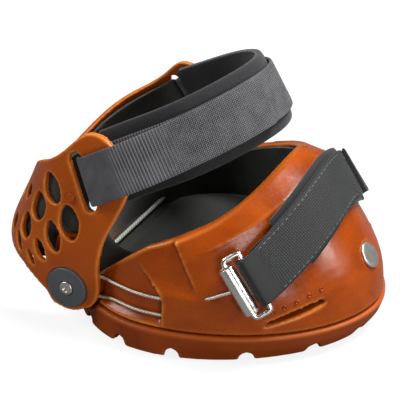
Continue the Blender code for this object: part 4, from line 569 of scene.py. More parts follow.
@dataclass(frozen=True)
class Weave(Finish):
    """Woven nylon webbing on the strap's own UV map in millimetres: ribs at a lean, with fine threads."""

    thread: str
    hollow: str
    rib_mm: float
    lean: float = 0.0
    fine_mm: float = 0.9
    rib_share: float = 0.6
    calm_from_mm: float = 44.0
    calm_to_mm: float = 62.0
    calm_share: float = 0.12
    drift_mm: float = 8.0
    depth_mm: float = 0.3
    rough: float = 0.6

    def pattern(self, tree: bpy.types.NodeTree) -> tuple:
        """Ribs and threads, calm on plain stretches and past the bold part."""
        coords = add(tree, "TexCoord")
        spot = coords.outputs["UV"]
        waves = []
        fine = self.fine_mm
        for pitch, turn, way in ((self.rib_mm, self.lean, "Y"), (fine, 0.0, "X"), (fine, 0.0, "Y")):
            laid = add(tree, "Mapping", {"Vector": spot}, {"Rotation": (0.0, 0.0, turn)})
            values = {"Scale": math.pi / 10.0 / pitch, "Distortion": 0.0}
            wave = add(tree, "TexWave", {"Vector": laid}, values, wave_type="BANDS", bands_direction=way)
            waves.append(wave.outputs["Fac"])
        ribs, weft, warp = waves
        grid = add(tree, "Math", {0: weft, 1: warp}, operation="MULTIPLY")
        place = add(tree, "SeparateXYZ", {"Vector": spot}).outputs["Y"]
        bold = add(tree, "MapRange", {"Value": place},
                   {"From Min": self.calm_from_mm, "From Max": self.calm_to_mm, "To Min": self.rib_share,
                    "To Max": self.rib_share * self.calm_share})
        woven = add(tree, "Mix", {0: bold, 2: grid, 3: ribs}, data_type="FLOAT")
        plain = add(tree, "Attribute", attribute_name="plain").outputs["Fac"]
        calm = add(tree, "MapRange", {"Value": grid}, {"To Min": 0.22, "To Max": 0.34})
        flat = add(tree, "Mix", {0: plain, 2: woven, 3: calm}, data_type="FLOAT")
        drift = add(tree, "TexNoise", {"Vector": coords.outputs["Object"]},
                    {"Scale": 1.0 / (self.drift_mm * MM), "Detail": 3.0})
        half = add(tree, "Math", {0: drift}, {1: 0.5}, operation="MULTIPLY")
        total = add(tree, "Math", {0: flat, 1: half}, operation="ADD")
        share = add(tree, "MapRange", {"Value": total}, {"From Min": 0.2, "From Max": 1.1})
        tones = {6: linear(self.hollow), 7: linear(self.thread)}
        tone = add(tree, "Mix", {0: share}, tones, data_type="RGBA")
        spread = {"To Min": self.rough - 0.1, "To Max": self.rough + 0.1}
        values = {"Sheen Weight": 0.12, "Sheen Roughness": 0.4}
        return tone, drift, spread, {"Height": flat}, (0.7, self.depth_mm * MM), values


@dataclass(frozen=True)
class Foam(Finish):
    """Knit-faced foam: dull, with a fine nap that scatters light at its edges."""

    face: str
    shade: str
    pore_mm: float = 1.1
    blotch_mm: float = 16.0
    rough: float = 0.85
    relief: float = 0.35

    def pattern(self, tree: bpy.types.NodeTree) -> tuple:
        """Pores over broad blotches."""
        spot = add(tree, "TexCoord").outputs["Object"]
        blotch = add(tree, "TexNoise", {"Vector": spot},
                     {"Scale": 1.0 / (self.blotch_mm * MM), "Detail": 4.0})
        pore = add(tree, "TexVoronoi", {"Vector": spot}, {"Scale": 1.0 / (self.pore_mm * MM)})
        pore = pore.outputs["Distance"]
        mixed = add(tree, "Math", {0: blotch, 1: pore}, operation="ADD")
        share = add(tree, "MapRange", {"Value": mixed}, {"From Min": 0.5, "From Max": 1.2})
        tone = add(tree, "Mix", {0: share}, {6: linear(self.shade), 7: linear(self.face)}, data_type="RGBA")
        spread = {"To Min": self.rough - 0.1, "To Max": self.rough + 0.1}
        values = {"Sheen Weight": 0.2, "Sheen Roughness": 0.5}
        return tone, blotch, spread, {"Height": pore}, (self.relief, 0.25 * MM), values


@dataclass(frozen=True)
class Metal(Finish):
    """Bare or plated metal: polish lines run one way and handling leaves duller patches."""

    colour: str
    dull: str
    rough: float
    metallic: float = 1.0
    line_mm: float = 0.5
    stretch: float = 12.0
    relief: float = 0.08

    def pattern(self, tree: bpy.types.NodeTree) -> tuple:
        """Lines drawn out along one axis, and patches."""
        spot = add(tree, "TexCoord").outputs["Object"]
        drawn = add(tree, "Mapping", {"Vector": spot}, {"Scale": (1.0, 1.0, self.stretch)})
        lines = add(tree, "TexNoise", {"Vector": drawn},
                    {"Scale": 1.0 / (self.line_mm * self.stretch * MM), "Detail": 3.0})
        patch = add(tree, "TexNoise", {"Vector": spot}, {"Scale": 1.0 / (5.0 * MM), "Detail": 2.0})
        tone = add(tree, "Mix", {0: patch}, {6: linear(self.colour), 7: linear(self.dull)}, data_type="RGBA")
        spread = {"From Min": 0.3, "From Max": 0.7, "To Min": self.rough - 0.05, "To Max": self.rough + 0.12}
        return tone, lines, spread, {"Height": lines}, (self.relief, 0.1 * MM), {"Metallic": self.metallic}


@dataclass(frozen=True)
class Strand(Finish):
    """Stranded cable on the wire's own UV map in millimetres: strands wind round it, dark between."""

    colour: str
    groove: str
    lay_mm: float
    round_mm: float
    rough: float
    metallic: float
    strands: float = 3.0

    def pattern(self, tree: bpy.types.NodeTree) -> tuple:
        """Bands that wind round the wire."""
        lean = math.atan2(self.round_mm, self.lay_mm)
        pitch = self.round_mm * math.cos(lean) / self.strands
        spot = add(tree, "TexCoord").outputs["UV"]
        wound = add(tree, "Mapping", {"Vector": spot}, {"Rotation": (0.0, 0.0, lean)})
        wave = add(tree, "TexWave", {"Vector": wound}, {"Scale": math.pi / 10.0 / pitch, "Distortion": 0.0},
                   wave_type="BANDS", bands_direction="X").outputs["Fac"]
        tone = add(tree, "Mix", {0: wave}, {6: linear(self.groove), 7: linear(self.colour)}, data_type="RGBA")
        spread = {"To Min": self.rough + 0.15, "To Max": self.rough}
        return tone, wave, spread, {"Height": wave}, (0.6, 0.15 * MM), {"Metallic": self.metallic}


class Finishes:
    """Every finish of the boot, built once."""

    def __init__(self) -> None:
        """Builds the materials."""
        finishes = {
            # Each urethane's third colour pales its outer edges, partly rubbing and partly a painted
            # highlight; its corners darken to painted shade.
            "shell": Urethane("moulded_urethane_shell", "#AA4A06", "#883402", "#F0943A",
                              0.26, 0.12, speck=0.35),
            "cup": Urethane("moulded_urethane_cup", "#B35208", "#9C4304", "#EC9036",
                              0.38, 0.05, speck=0.2),
            # The tread is the shell's urethane made darker and rougher: its roughness is its own, its darker
            # tone is painted shade of its low, barely lit sides.
            "tread": Urethane("moulded_urethane_tread", "#9A4005", "#7C2F02", "#BC6018",
                              0.46, 0.0, grain=0.3),
            "web": Weave("woven_nylon_webbing", "#323334", "#0B0C0D", 1.2, fine_mm=1.2, rib_share=0.1),
            "ribbed": Weave("ribbed_nylon_webbing", "#7A7A7F", "#111214", 1.7, lean=math.radians(6)),
            "neoprene": Foam("knit_faced_neoprene", "#1C1D20", "#0A0B0C"),
            "lining": Foam("brushed_foam_lining", "#24251D", "#0F100C", pore_mm=1.6, blotch_mm=28.0),
            "insole": Foam("foam_insole", "#131411", "#080907", pore_mm=2.4),
            "plate": Metal("nickel_plated_steel", "#F4F2EE", "#E2E0DC", 0.22, 1.0, 2.0, 1.0, 0.02),
            "steel": Metal("stainless_steel", "#EAE6DF", "#CCC8C0", 0.36, line_mm=0.3),
            "disc": Metal("slate_anodised_aluminium", "#63676B", "#54585B", 0.42, 0.3, stretch=1.0),
            "acetal": Foam("turned_acetal", "#1A1A1B", "#0C0C0D", pore_mm=0.6, rough=0.4, relief=0.05),
            "cable": Strand("stranded_steel_cable", "#EFEAE0", "#A59E92", 5.0, 4.7, 0.34, 0.35),
            "sleeve": Strand("sleeved_heel_cable", "#C9C8BE", "#8E8D84", 7.0, 7.5, 0.5, 0.1),
            "thread": Foam("bonded_nylon_thread", "#5B5E61", "#2C2E30", pore_mm=0.5, rough=0.6),
        }
        for key, finish in finishes.items():
            setattr(self, key, finish.build())


def place_piece(name: str, mesh: Mesh, material: bpy.types.Material, body: str,
                node: str = "", sharp: float = SOFT) -> bpy.types.Object:
    """Puts a mesh in the scene as a piece that rides on a body.

    Args:
        name: Name of the piece.
        mesh: Its mesh, in the boot's own place.
        material: Its finish.
        body: The body it moves with.
        node: CAD node it stands for.
        sharp: Angle in degrees over which an edge shows sharp.

    Returns:
        The object.
    """
    mesh.name = name
    mesh.materials.clear()
    mesh.materials.append(material)
    mesh.shade_smooth()
    mesh.set_sharp_from_angle(angle=math.radians(sharp))
    piece = in_scene(name, mesh)
    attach(piece, body)
    if node:
        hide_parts(node)
    LOG.info("%s: %d faces on %s", name, len(mesh.polygons), body)
    return piece


def dress(node: str, material: bpy.types.Material) -> None:
    """Gives a CAD node that is shown as it is its finish."""
    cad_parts[node].data.materials[0] = material


# Forms that several pieces share

@dataclass(frozen=True)
class HoofForm:
    """The shell's outer surface by angle from the toe and height."""

    widest_x: float = -12.0 * MM
    front_reach: float = 100.0 * MM
    rear_reach: float = 64.0 * MM
    half_width: float = 75.0 * MM
    front_squareness: float = 1.85
    rear_squareness: float = 2.0
    knee_height: float = 32.0 * MM
    knee_softness: float = 5.0 * MM
    toe_angle: float = math.radians(55)
    side_angle: float = math.radians(72)
    heel_angle: float = math.radians(75)
    sole_thickness: float = 15.0 * MM
    wall: float = 8.5 * MM
    floor: float = 3.0 * MM
    lip_height: float = 19.6 * MM
    lip_softness: float = 2.5 * MM
    rim_side: float = 55.0 * MM
    rim_rise: float = 33.0 * MM
    rim_fall: float = 36.0 * MM
    rim_curve: float = 24.0 * MM
    rim_wall: float = 4.0 * MM
    crease_side: float = 41.5 * MM
    crease_rise: float = 42.0 * MM
    crease_drop: float = 4.0 * MM
    crease_low: float = 0.3
    crease_step: float = 0.08
    collar_lean: float = 13.0 * MM
    collar_step: float = 1.2 * MM
    collar_body: float = 2.4 * MM
    collar_blend: tuple = (0.05, 1.0)
    step_blend: tuple = (0.25, 0.45)

    @property
    def floor_top(self) -> float:
        """Height of the shell's floor inside."""
        return self.sole_thickness + GAP + self.floor

    def reaches(self, height: Number, inset: Number) -> tuple:
        """Front reach, rear reach and half width at a height, all leaning in above the knee."""
        lean = softplus(height - self.knee_height, self.knee_softness)
        front = self.front_reach - lean / math.tan(self.toe_angle) - inset
        rear = self.rear_reach - lean / math.tan(self.heel_angle) - inset
        return front, rear, self.half_width - lean / math.tan(self.side_angle) - inset

    def plan_point(self, angle, height, inset=0.0) -> np.ndarray:
        """Points of the outline |x / reach|^n + |y / half|^n = 1, with one n ahead and one behind."""
        front, rear, side = self.reaches(height, inset)
        cosine, sine = np.cos(angle), np.sin(angle)
        ahead = cosine >= 0.0
        power = 2.0 / np.where(ahead, self.front_squareness, self.rear_squareness)
        x = self.widest_x + np.where(ahead, front, rear) * power_of(cosine, power)
        y = side * power_of(sine, power)
        return np.stack([x, y, np.broadcast_to(height, np.shape(x))], axis=-1)

    def angle_at(self, x: Number, height: Number, inset: Number = 0.0) -> Number:
        """The angle, on the left, of the surface point with this X at this height."""
        front, rear, _ = self.reaches(height, inset)
        ahead = x >= self.widest_x
        squareness = np.where(ahead, self.front_squareness, self.rear_squareness)
        share = np.clip(np.abs(x - self.widest_x) / np.where(ahead, front, rear), 0.0, 1.0)
        return np.arccos(np.where(ahead, 1.0, -1.0) * share ** (squareness / 2.0))

    def forward_share(self, angle: Number) -> Number:
        """How far forward an angle lies: 1 at the toe, 0 at the widest line, -1 at the heel."""
        cosine = np.cos(angle)
        return power_of(cosine, 2.0 / np.where(cosine >= 0.0, self.front_squareness, self.rear_squareness))

    def rim_height(self, angle: Number) -> Number:
        """Height of the rim: a straight rise ahead, a curved fall behind, and a low lip at the heel."""
        share = self.forward_share(angle)
        behind = self.rim_side + self.rim_fall * share - self.rim_curve * share ** 2
        line = np.where(share > 0.0, self.rim_side + self.rim_rise * share, behind)
        return self.lip_height + softplus(line - self.lip_height, self.lip_softness)

    def crease_height(self, angle: Number) -> Number:
        """Height of the crease under the collar."""
        rim = self.rim_height(angle)
        room = rim - self.floor_top
        line = self.crease_side + self.crease_rise * self.forward_share(angle)
        highest = rim - np.minimum(self.crease_drop, room / 2.0)
        return np.clip(line, self.floor_top + room * self.crease_low, highest)

    def collar_share(self, angle: Number) -> Number:
        """How much of a collar there is: all at the toe, none behind the quarters."""
        return smoothstep(self.forward_share(angle), *self.collar_blend)

    def rise(self, angle: Number, height: Number) -> Number:
        """Share of the way from the crease to the rim."""
        crease = self.crease_height(angle)
        return np.clip((height - crease) / (self.rim_height(angle) - crease), 0.0, 1.0)

    def outer_inset(self, angle: Number, height: Number) -> Number:
        """How far the collar leans in, less the small step that it starts with."""
        rise = self.rise(angle, height)
        step = self.collar_step * smoothstep(self.forward_share(angle), *self.step_blend)
        lean = self.collar_lean * self.collar_share(angle) * rise
        return lean - step * smoothstep(rise, 0.0, self.crease_step)

    def wall_thickness(self, angle: Number, height: Number) -> Number:
        """Thickness of the wall, thinner towards the collar's rim."""
        return self.wall - (self.wall - self.rim_wall) * self.collar_share(angle) * self.rise(angle, height)

    def shell_point(self, angle, height, depth=0.0) -> np.ndarray:
        """A point at a level depth under the outer surface."""
        return self.plan_point(angle, height, self.outer_inset(angle, height) + depth)

    def inner_point(self, angle, height, depth=0.0) -> np.ndarray:
        """A point inside the wall, set lower under the collar to give that its body."""
        spot = self.shell_point(angle, height, self.wall_thickness(angle, height) + depth)
        spot[..., 2] -= self.collar_body * self.collar_share(angle) * self.rise(angle, height)
        return spot

    def outward_normal(self, angle, height) -> np.ndarray:
        """Outward normal of the main wall, the cross product of its two slopes."""
        small, low = 1e-4, 0.01 * MM
        round_way = self.plan_point(angle + small, height) - self.plan_point(angle - small, height)
        up = self.plan_point(angle, height + low) - self.plan_point(angle, height - low)
        normal = unit(np.cross(round_way, up))
        spot = self.plan_point(angle, height)
        out = normal[..., 0] * (spot[..., 0] - self.widest_x) + normal[..., 1] * spot[..., 1]
        return normal * np.sign(out)[..., None]

    def port_point(self, x: float, height: float, depth: float) -> np.ndarray:
        """A point on the left at an X and a height, under the surface."""
        level = np.array([height])
        return self.shell_point(self.angle_at(np.array([x]), level), level, depth)[0]

    def wall_spot(self, x: float, height: float) -> tuple[np.ndarray, np.ndarray, np.ndarray]:
        """The left wall's angle at an X and a height, with the point there and its outward normal."""
        level = np.array([height])
        angle = self.angle_at(np.array([x]), level)
        return angle, self.plan_point(angle, level)[0], self.outward_normal(angle, level)[0]


@dataclass(frozen=True)
class HubForm:
    """The pivot that the heel cup swings on."""

    x: float = -56.0 * MM
    height: float = 23.0 * MM
    guard_inner: float = 61.0 * MM
    guard: float = 2.2 * MM
    bush_space: float = 4.0 * MM
    disc_radius: float = 11.3 * MM
    disc_thickness: float = 2.4 * MM
    disc_seat: float = 1.4 * MM
    screw_radius: float = 2.0 * MM
    screw_head: float = 3.8 * MM
    groove_radius: float = 6.0 * MM
    lobe_radius: float = 14.5 * MM
    lobe_clearance: float = 3.0 * MM
    nut_thickness: float = 3.0 * MM
    cup_wall: float = 3.5 * MM

    @property
    def cup_half(self) -> float:
        """Half width of the heel cup over its lobes."""
        return self.guard_inner + self.guard + self.bush_space + self.cup_wall

    def turned(self, side: Side, profile: list, segments: int = TURNED_SIDES,
               bore: bool = True) -> Mesh:
        """A turned mesh about the hub's axis, its levels measured outwards from the middle plane."""
        return turned_mesh(profile, (self.x, 0.0, self.height), (0.0, side.value, 0.0), segments, bore)

    def lobe_rooms(self) -> list[Mesh]:
        """Room beside the heel for the cup's lobes to turn in."""
        radius, low = self.lobe_radius + self.lobe_clearance, self.guard_inner - GAP
        profile = [(radius, low), (radius, low + self.cup_half)]
        return [self.turned(side, profile, SEAT_SIDES, bore=False) for side in Side]


@dataclass(frozen=True)
class CupForm:
    """The heel cup's outer surface by angle about its own centre and height."""

    hub: HubForm = HubForm()
    centre_x: float = -60.0 * MM
    rear_reach: float = 52.5 * MM
    back_height: float = 38.0 * MM
    back_softness: float = 3.0 * MM
    back_slope: float = 0.4
    front_reach: float = 200.0 * MM
    lean_height: float = 41.0 * MM
    lean_softness: float = 3.0 * MM
    lean_slope: float = 0.29
    low_squareness: float = 2.6
    high_squareness: float = 2.1
    shape_height: float = 52.0 * MM
    shape_softness: float = 6.0 * MM
    front_heights: tuple = (10.0, 14.5, 19.4, 26.4, 36.4, 52.7, 65.0, 78.7, 87.9, 97.0, 105.3)
    front_line: tuple = (-48.0, -41.5, -38.8, -37.8, -38.5, -36.4, -30.3, -25.0, -26.6, -34.6, -43.2)
    front_ease: float = 5.0 * MM

    def plan(self, height: Number, inset: Number) -> tuple:
        """Reach, half width and squareness at a height."""
        lean = softplus(height - self.lean_height, self.lean_softness)
        blend = 1.0 / (1.0 + np.exp((self.shape_height - height) / self.shape_softness))
        back = softplus(height - self.back_height, self.back_softness)
        reach = self.rear_reach - self.back_slope * back - inset
        half = self.hub.cup_half - self.lean_slope * lean - inset
        return reach, half, between(self.low_squareness, self.high_squareness, blend)

    def point(self, angle, height, inset=0.0) -> np.ndarray:
        """Points of (|x| / reach)^n + (|y| / half)^n = 1 at an angle, 0 towards the toe."""
        reach, half, power = self.plan(height, inset)
        cosine, sine = np.cos(angle), np.sin(angle)
        reach = np.where(cosine > 0.0, self.front_reach - inset, reach)
        radius = ((np.abs(cosine) / reach) ** power + (np.abs(sine) / half) ** power) ** (-1.0 / power)
        x = self.centre_x + radius * cosine
        return np.stack([x, radius * sine, np.broadcast_to(height, np.shape(x))], axis=-1)

    def side(self, x: Number, height: Number, inset: Number) -> Number:
        """Distance of the side wall from the middle plane, ahead of the centre."""
        _, half, power = self.plan(height, inset)
        ahead = np.abs((x - self.centre_x) / (self.front_reach - inset))
        return half * (1.0 - ahead ** power) ** (1.0 / power)

    def front_angle(self, height: Number, inset: Number) -> Number:
        """The angle of the front edge at a height."""
        heights, line = np.array(self.front_heights) * MM, np.array(self.front_line) * MM
        x = eased(height, heights, line, self.front_ease)
        return np.arctan2(self.side(x, height, inset), x - self.centre_x)

    def grid(self, columns: np.ndarray, height: np.ndarray, edge: float, inset) -> np.ndarray:
        """A grid over the wall at an inset, with the front edge that the wall has at another."""
        angle = math.pi - columns * (math.pi - self.front_angle(height, edge))
        return self.point(angle, height, inset)

    def spot(self, angle: float, height: float) -> tuple[np.ndarray, np.ndarray, np.ndarray]:
        """A place on the surface, its outward normal and the level way along the wall."""
        step = 0.01
        level = unit(self.point(angle + step, height) - self.point(angle - step, height))
        climb = self.point(angle, height + GAP) - self.point(angle, height - GAP)
        return self.point(angle, height), unit(np.cross(level, climb)), level


# Shell and sole

@dataclass
class HoofShell:
    """The moulded shell with its collar, recessed wings, slits, ports and rivet seat."""

    form: HoofForm
    hub: HubForm
    wing_depth: float = 4.5 * MM
    boss_depth: float = 2.6 * MM
    wing_floor: float = 15.5 * MM
    wing_full: float = 21.0 * MM
    wing_fade: tuple = (40.0 * MM, 50.0 * MM)
    wing_reach: tuple = (-42.0 * MM, -30.0 * MM)
    panel_floor: float = 18.0 * MM
    wing_rear: float = 0.88
    boss_foot_x: float = -0.5 * MM
    boss_top_x: float = -17.0 * MM
    boss_curve_foot: float = 30.0 * MM
    boss_curve_top: float = 49.0 * MM
    panel_foot_x: float = 28.5 * MM
    panel_top_x: float = 2.0 * MM
    rim_headroom: float = 6.0 * MM
    rim_round: float = 1.5 * MM
    boss_flush: float = 33.0 * MM
    boss_sunk: float = 42.0 * MM
    slit_rear_x: float = 44.5 * MM
    slit_front_x: float = 72.5 * MM
    slit_rear_height: float = 20.0 * MM
    slit_front_height: float = 30.5 * MM
    slit_width: float = 3.6 * MM
    rivet_height: float = 40.5 * MM
    rivet_head: float = 6.9 * MM
    voxel: float = 0.9 * MM
    smoothing: int = 4
    foot_edge: float = 1.5 * MM
    # Where the base's rings lie, by share of the way up each stretch, outside and inside
    wall_rings: int = 15
    collar_rings: tuple = (0.04, 0.08, 0.25, 0.4, 0.55, 0.7, 0.85)
    rim_rings: int = 9
    rim_power: float = 0.7
    rim_share: float = 0.8
    inner_rings: tuple = (0.85, 0.7, 0.58, 0.4, 0.2, 0.08, 0.0)
    foot_rings: tuple = (0.8, 0.6, 0.4, 0.2, 0.0)
    wing_rows: int = 40
    ahead_rows: int = 20
    slit_points: int = 30
    slit_ends: float = 0.25
    slit_power: float = 1.7
    washer_radius: float = 6.6 * MM
    washer_seat: float = 2.0 * MM
    stem_hole: float = 2.5 * MM
    rivet_seat: float = -1.1 * MM
    # X and height of each pip, and its profile by radius and level, all in millimetres
    pips: tuple = ((47.0, 26.5), (51.5, 28.5), (56.0, 30.6), (60.5, 32.6), (65.0, 34.8), (69.0, 36.6))
    pip_profile: tuple = ((1.25, -0.5), (1.2, 0.15), (0.9, 0.6), (0.5, 0.45), (0.2, 0.0))

    def rivet_frame(self) -> tuple[np.ndarray, np.ndarray]:
        """Where the toe rivet sits and the wall's outward direction."""
        place = self.form.shell_point(np.array([0.0]), np.array([self.rivet_height]))[0]
        return place, np.array([math.sin(self.form.toe_angle), 0.0, math.cos(self.form.toe_angle)])

    def base(self) -> Mesh:
        """The uncut shell: rings up the outside, over the rim and down the inside."""
        form = self.form
        angles = all_round(ROUND_COLUMNS)
        rim, crease = form.rim_height(angles), form.crease_height(angles)
        low = np.full_like(angles, form.sole_thickness + GAP)
        edge = low + self.foot_edge
        rings = [form.shell_point(angles, low, self.foot_edge), form.shell_point(angles, edge)]
        for share in np.linspace(0.0, 1.0, self.wall_rings)[1:]:
            rings.append(form.shell_point(angles, between(edge, crease, share)))
        outer, inner = form.shell_point(angles, rim), form.inner_point(angles, rim)
        tip = unit(outer - form.shell_point(angles, rim - GAP))
        half = (outer - inner) / 2.0
        bulge = np.minimum(self.rim_share * np.linalg.norm(half, axis=1), self.rim_round)[:, None]
        brow = rim - (bulge * tip)[:, 2]
        for share in self.collar_rings:
            rings.append(form.shell_point(angles, between(crease, brow, share)))
        for turn in np.linspace(0.0, math.pi, self.rim_rings):
            over = power_of(math.cos(turn), self.rim_power)
            rings.append((outer + inner) / 2.0 + half * over - tip * bulge * (1.0 - math.sin(turn)))
        for share in self.inner_rings:
            rings.append(form.inner_point(angles, between(crease, brow, share)))
        for share in self.foot_rings:
            rings.append(form.inner_point(angles, between(low + form.floor, crease, share)))
        return mesh_from_grid(np.array(rings))

    def cutter(self, x: np.ndarray, height: np.ndarray, depth, side: Side) -> Mesh:
        """A slab from outside the wall down to a depth under its surface."""
        angle = self.form.angle_at(x, height)
        faces = [self.form.shell_point(angle, height, level) for level in (-CUT_OVERRUN, depth)]
        return slab_mesh(*mirrored(faces, side))

    def wing_cutter(self, side: Side) -> Mesh:
        """The recess of one side: deep behind the boss's edge, shallow between boss and front panel."""
        form = self.form
        top_angle = form.angle_at(np.array([self.panel_top_x]), np.array([form.rim_side]))
        top = float(form.rim_height(top_angle)[0])
        height = np.linspace(self.wing_floor, top + self.rim_headroom, self.wing_rows)[:, None]
        curve = smoothstep(height, self.boss_curve_foot, self.boss_curve_top)
        boss = between(self.boss_foot_x, self.boss_top_x, curve)
        climb = (height - self.panel_floor) / (top - self.panel_floor)
        panel = between(self.panel_foot_x, self.panel_top_x, climb)
        rear = form.widest_x - self.wing_rear * (form.reaches(height, 0.0)[1] - self.wing_depth)
        behind = between(rear, boss, np.linspace(0.0, 1.0, self.wing_rows))
        ahead = between(boss + GAP, panel, np.linspace(0.0, 1.0, self.ahead_rows))
        sunk = between(-GAP, self.boss_depth, smoothstep(height, self.boss_flush, self.boss_sunk))
        full = between(-GAP, self.wing_depth, smoothstep(height, self.wing_floor, self.wing_full))
        fade = smoothstep(height, *self.wing_fade) * smoothstep(behind, *self.wing_reach)
        depth = np.concatenate([between(full, sunk, fade), np.broadcast_to(sunk, ahead.shape)], axis=1)
        x = np.concatenate([behind, ahead], axis=1)
        return self.cutter(x, np.broadcast_to(height, x.shape), depth, side)

    def slit_cutter(self, side: Side) -> Mesh:
        """A narrow lens through the side of the toe."""
        share = np.linspace(0.0, 1.0, self.slit_points)
        x = between(self.slit_rear_x, self.slit_front_x, share)
        middle = between(self.slit_rear_height, self.slit_front_height, share)
        bulge = np.sin(math.pi * share ** self.slit_power) ** 0.5
        half = self.slit_width / 2.0 * between(self.slit_ends, 1.0, bulge)
        height = np.stack([middle - half, middle + half])
        return self.cutter(np.stack([x, x]), height, self.form.wall + CUT_OVERRUN, side)

    def seat_cutter(self) -> Mesh:
        """The rivet's hole, with a flat for its head outside and its washer inside."""
        wall = self.form.wall * math.sin(self.form.toe_angle)
        head, seat = self.rivet_head + HOLE_CLEARANCE, self.rivet_seat - GAP
        low = self.washer_seat - wall
        profile = [(head, CUT_OVERRUN), (head, seat), (self.stem_hole, seat), (self.stem_hole, low),
                   (self.washer_radius, low), (self.washer_radius, -wall - CUT_OVERRUN)]
        return turned_mesh(profile, *self.rivet_frame())

    def pip(self, side: Side, x: float, height: float) -> Mesh:
        """A raised pip on the wall."""
        place = self.form.port_point(x, height, 0.0)
        normal = self.form.wall_spot(x, height)[2]
        place, normal = mirrored([place, normal], side)
        return turned_mesh(np.array(self.pip_profile) * MM, place, normal, PIP_SIDES)

    def build(self, finishes: Finishes, cables: "Cables") -> None:
        """Makes the shell and the row of raised pips over each slit."""
        cutters = [self.seat_cutter(), *self.hub.lobe_rooms()]
        for side in Side:
            cutters += [self.wing_cutter(side), self.slit_cutter(side), *cables.port_cutters(side)]
        mesh = moulded(self.base(), cutters, self.voxel, self.smoothing)
        place_piece("hoof_shell_cast", mesh, finishes.shell, "boot", "hoof_shell", CAST)
        pips = joined([self.pip(side, x * MM, height * MM) for side in Side for x, height in self.pips])
        place_piece("slit_pips", pips, finishes.shell, "boot", sharp=FINE)


@dataclass
class TreadSole:
    """The tread with its tucked toe, arched notches and ring groove."""

    form: HoofForm
    hub: HubForm
    step_out: float = 1.5 * MM
    toe_tuck: float = 6.0 * MM
    side_tuck: float = 0.2 * MM
    edge: float = 1.0 * MM
    notch_width: float = 8.0 * MM
    notch_height: float = 5.5 * MM
    notch_depth: float = 15.0 * MM
    notch_count: int = 16
    groove_width: float = 6.0 * MM
    groove_depth: float = 3.5 * MM
    groove_inset: float = 27.0 * MM
    voxel: float = 0.9 * MM
    smoothing: int = 3
    arch_points: int = 17

    def outline(self, angles: np.ndarray, inset, height) -> np.ndarray:
        """The sole's outline with an inset, laid at a height."""
        ring = self.form.plan_point(angles, np.full_like(angles, self.form.sole_thickness), inset)
        ring[:, 2] = height
        return ring

    def notch(self, index: int) -> Mesh:
        """One arched notch, running inward under the tread."""
        angle = (index + 0.5) * math.tau / self.notch_count
        top = np.array([self.form.sole_thickness])
        edge = self.form.plan_point(np.array([angle]), top)[0]
        near = self.form.plan_point(np.array([angle + NUDGE]), top)[0]
        along = unit(near - edge)
        inward = np.cross(UP, along)
        half = self.notch_width / 2.0
        arch = np.linspace(0.0, math.pi, self.arch_points)[:, None]
        crown = self.notch_height * UP * np.sin(arch) - along * half * np.cos(arch)
        foot = np.array([along, -along]) * half - CUT_OVERRUN * UP
        outline = np.concatenate([foot, crown]) + edge * np.array([1.0, 1.0, 0.0])
        ends = np.array([-CUT_OVERRUN, self.notch_depth])[:, None, None]
        return mesh_from_grid(outline[None] + ends * inward)

    def build(self, finishes: Finishes) -> None:
        """Makes the tread."""
        angles = all_round(ROUND_COLUMNS)
        tuck = self.side_tuck + self.toe_tuck * smoothstep(self.form.forward_share(angles), 0.0, 1.0)
        top, out = self.form.sole_thickness, self.step_out
        levels = ((tuck + self.edge - out, 0.0), (tuck - out, self.edge), (tuck / 3.0 - out, top / 2.0),
                  (-out, top - self.edge), (self.edge - out, top))
        near, far = self.groove_inset, self.groove_inset + self.groove_width
        depth = self.groove_depth
        groove = ((near, -CUT_OVERRUN), (near, depth), (far, depth), (far, -CUT_OVERRUN))
        base, ring = (np.array([self.outline(angles, *level) for level in rows]) for rows in (levels, groove))
        cutters = [mesh_from_grid(ring, wrap_ends=True), *map(self.notch, range(self.notch_count))]
        mesh = moulded(mesh_from_grid(base), cutters + self.hub.lobe_rooms(), self.voxel, self.smoothing)
        place_piece("tread_cast", mesh, finishes.tread, "boot", "tread_sole", CAST)


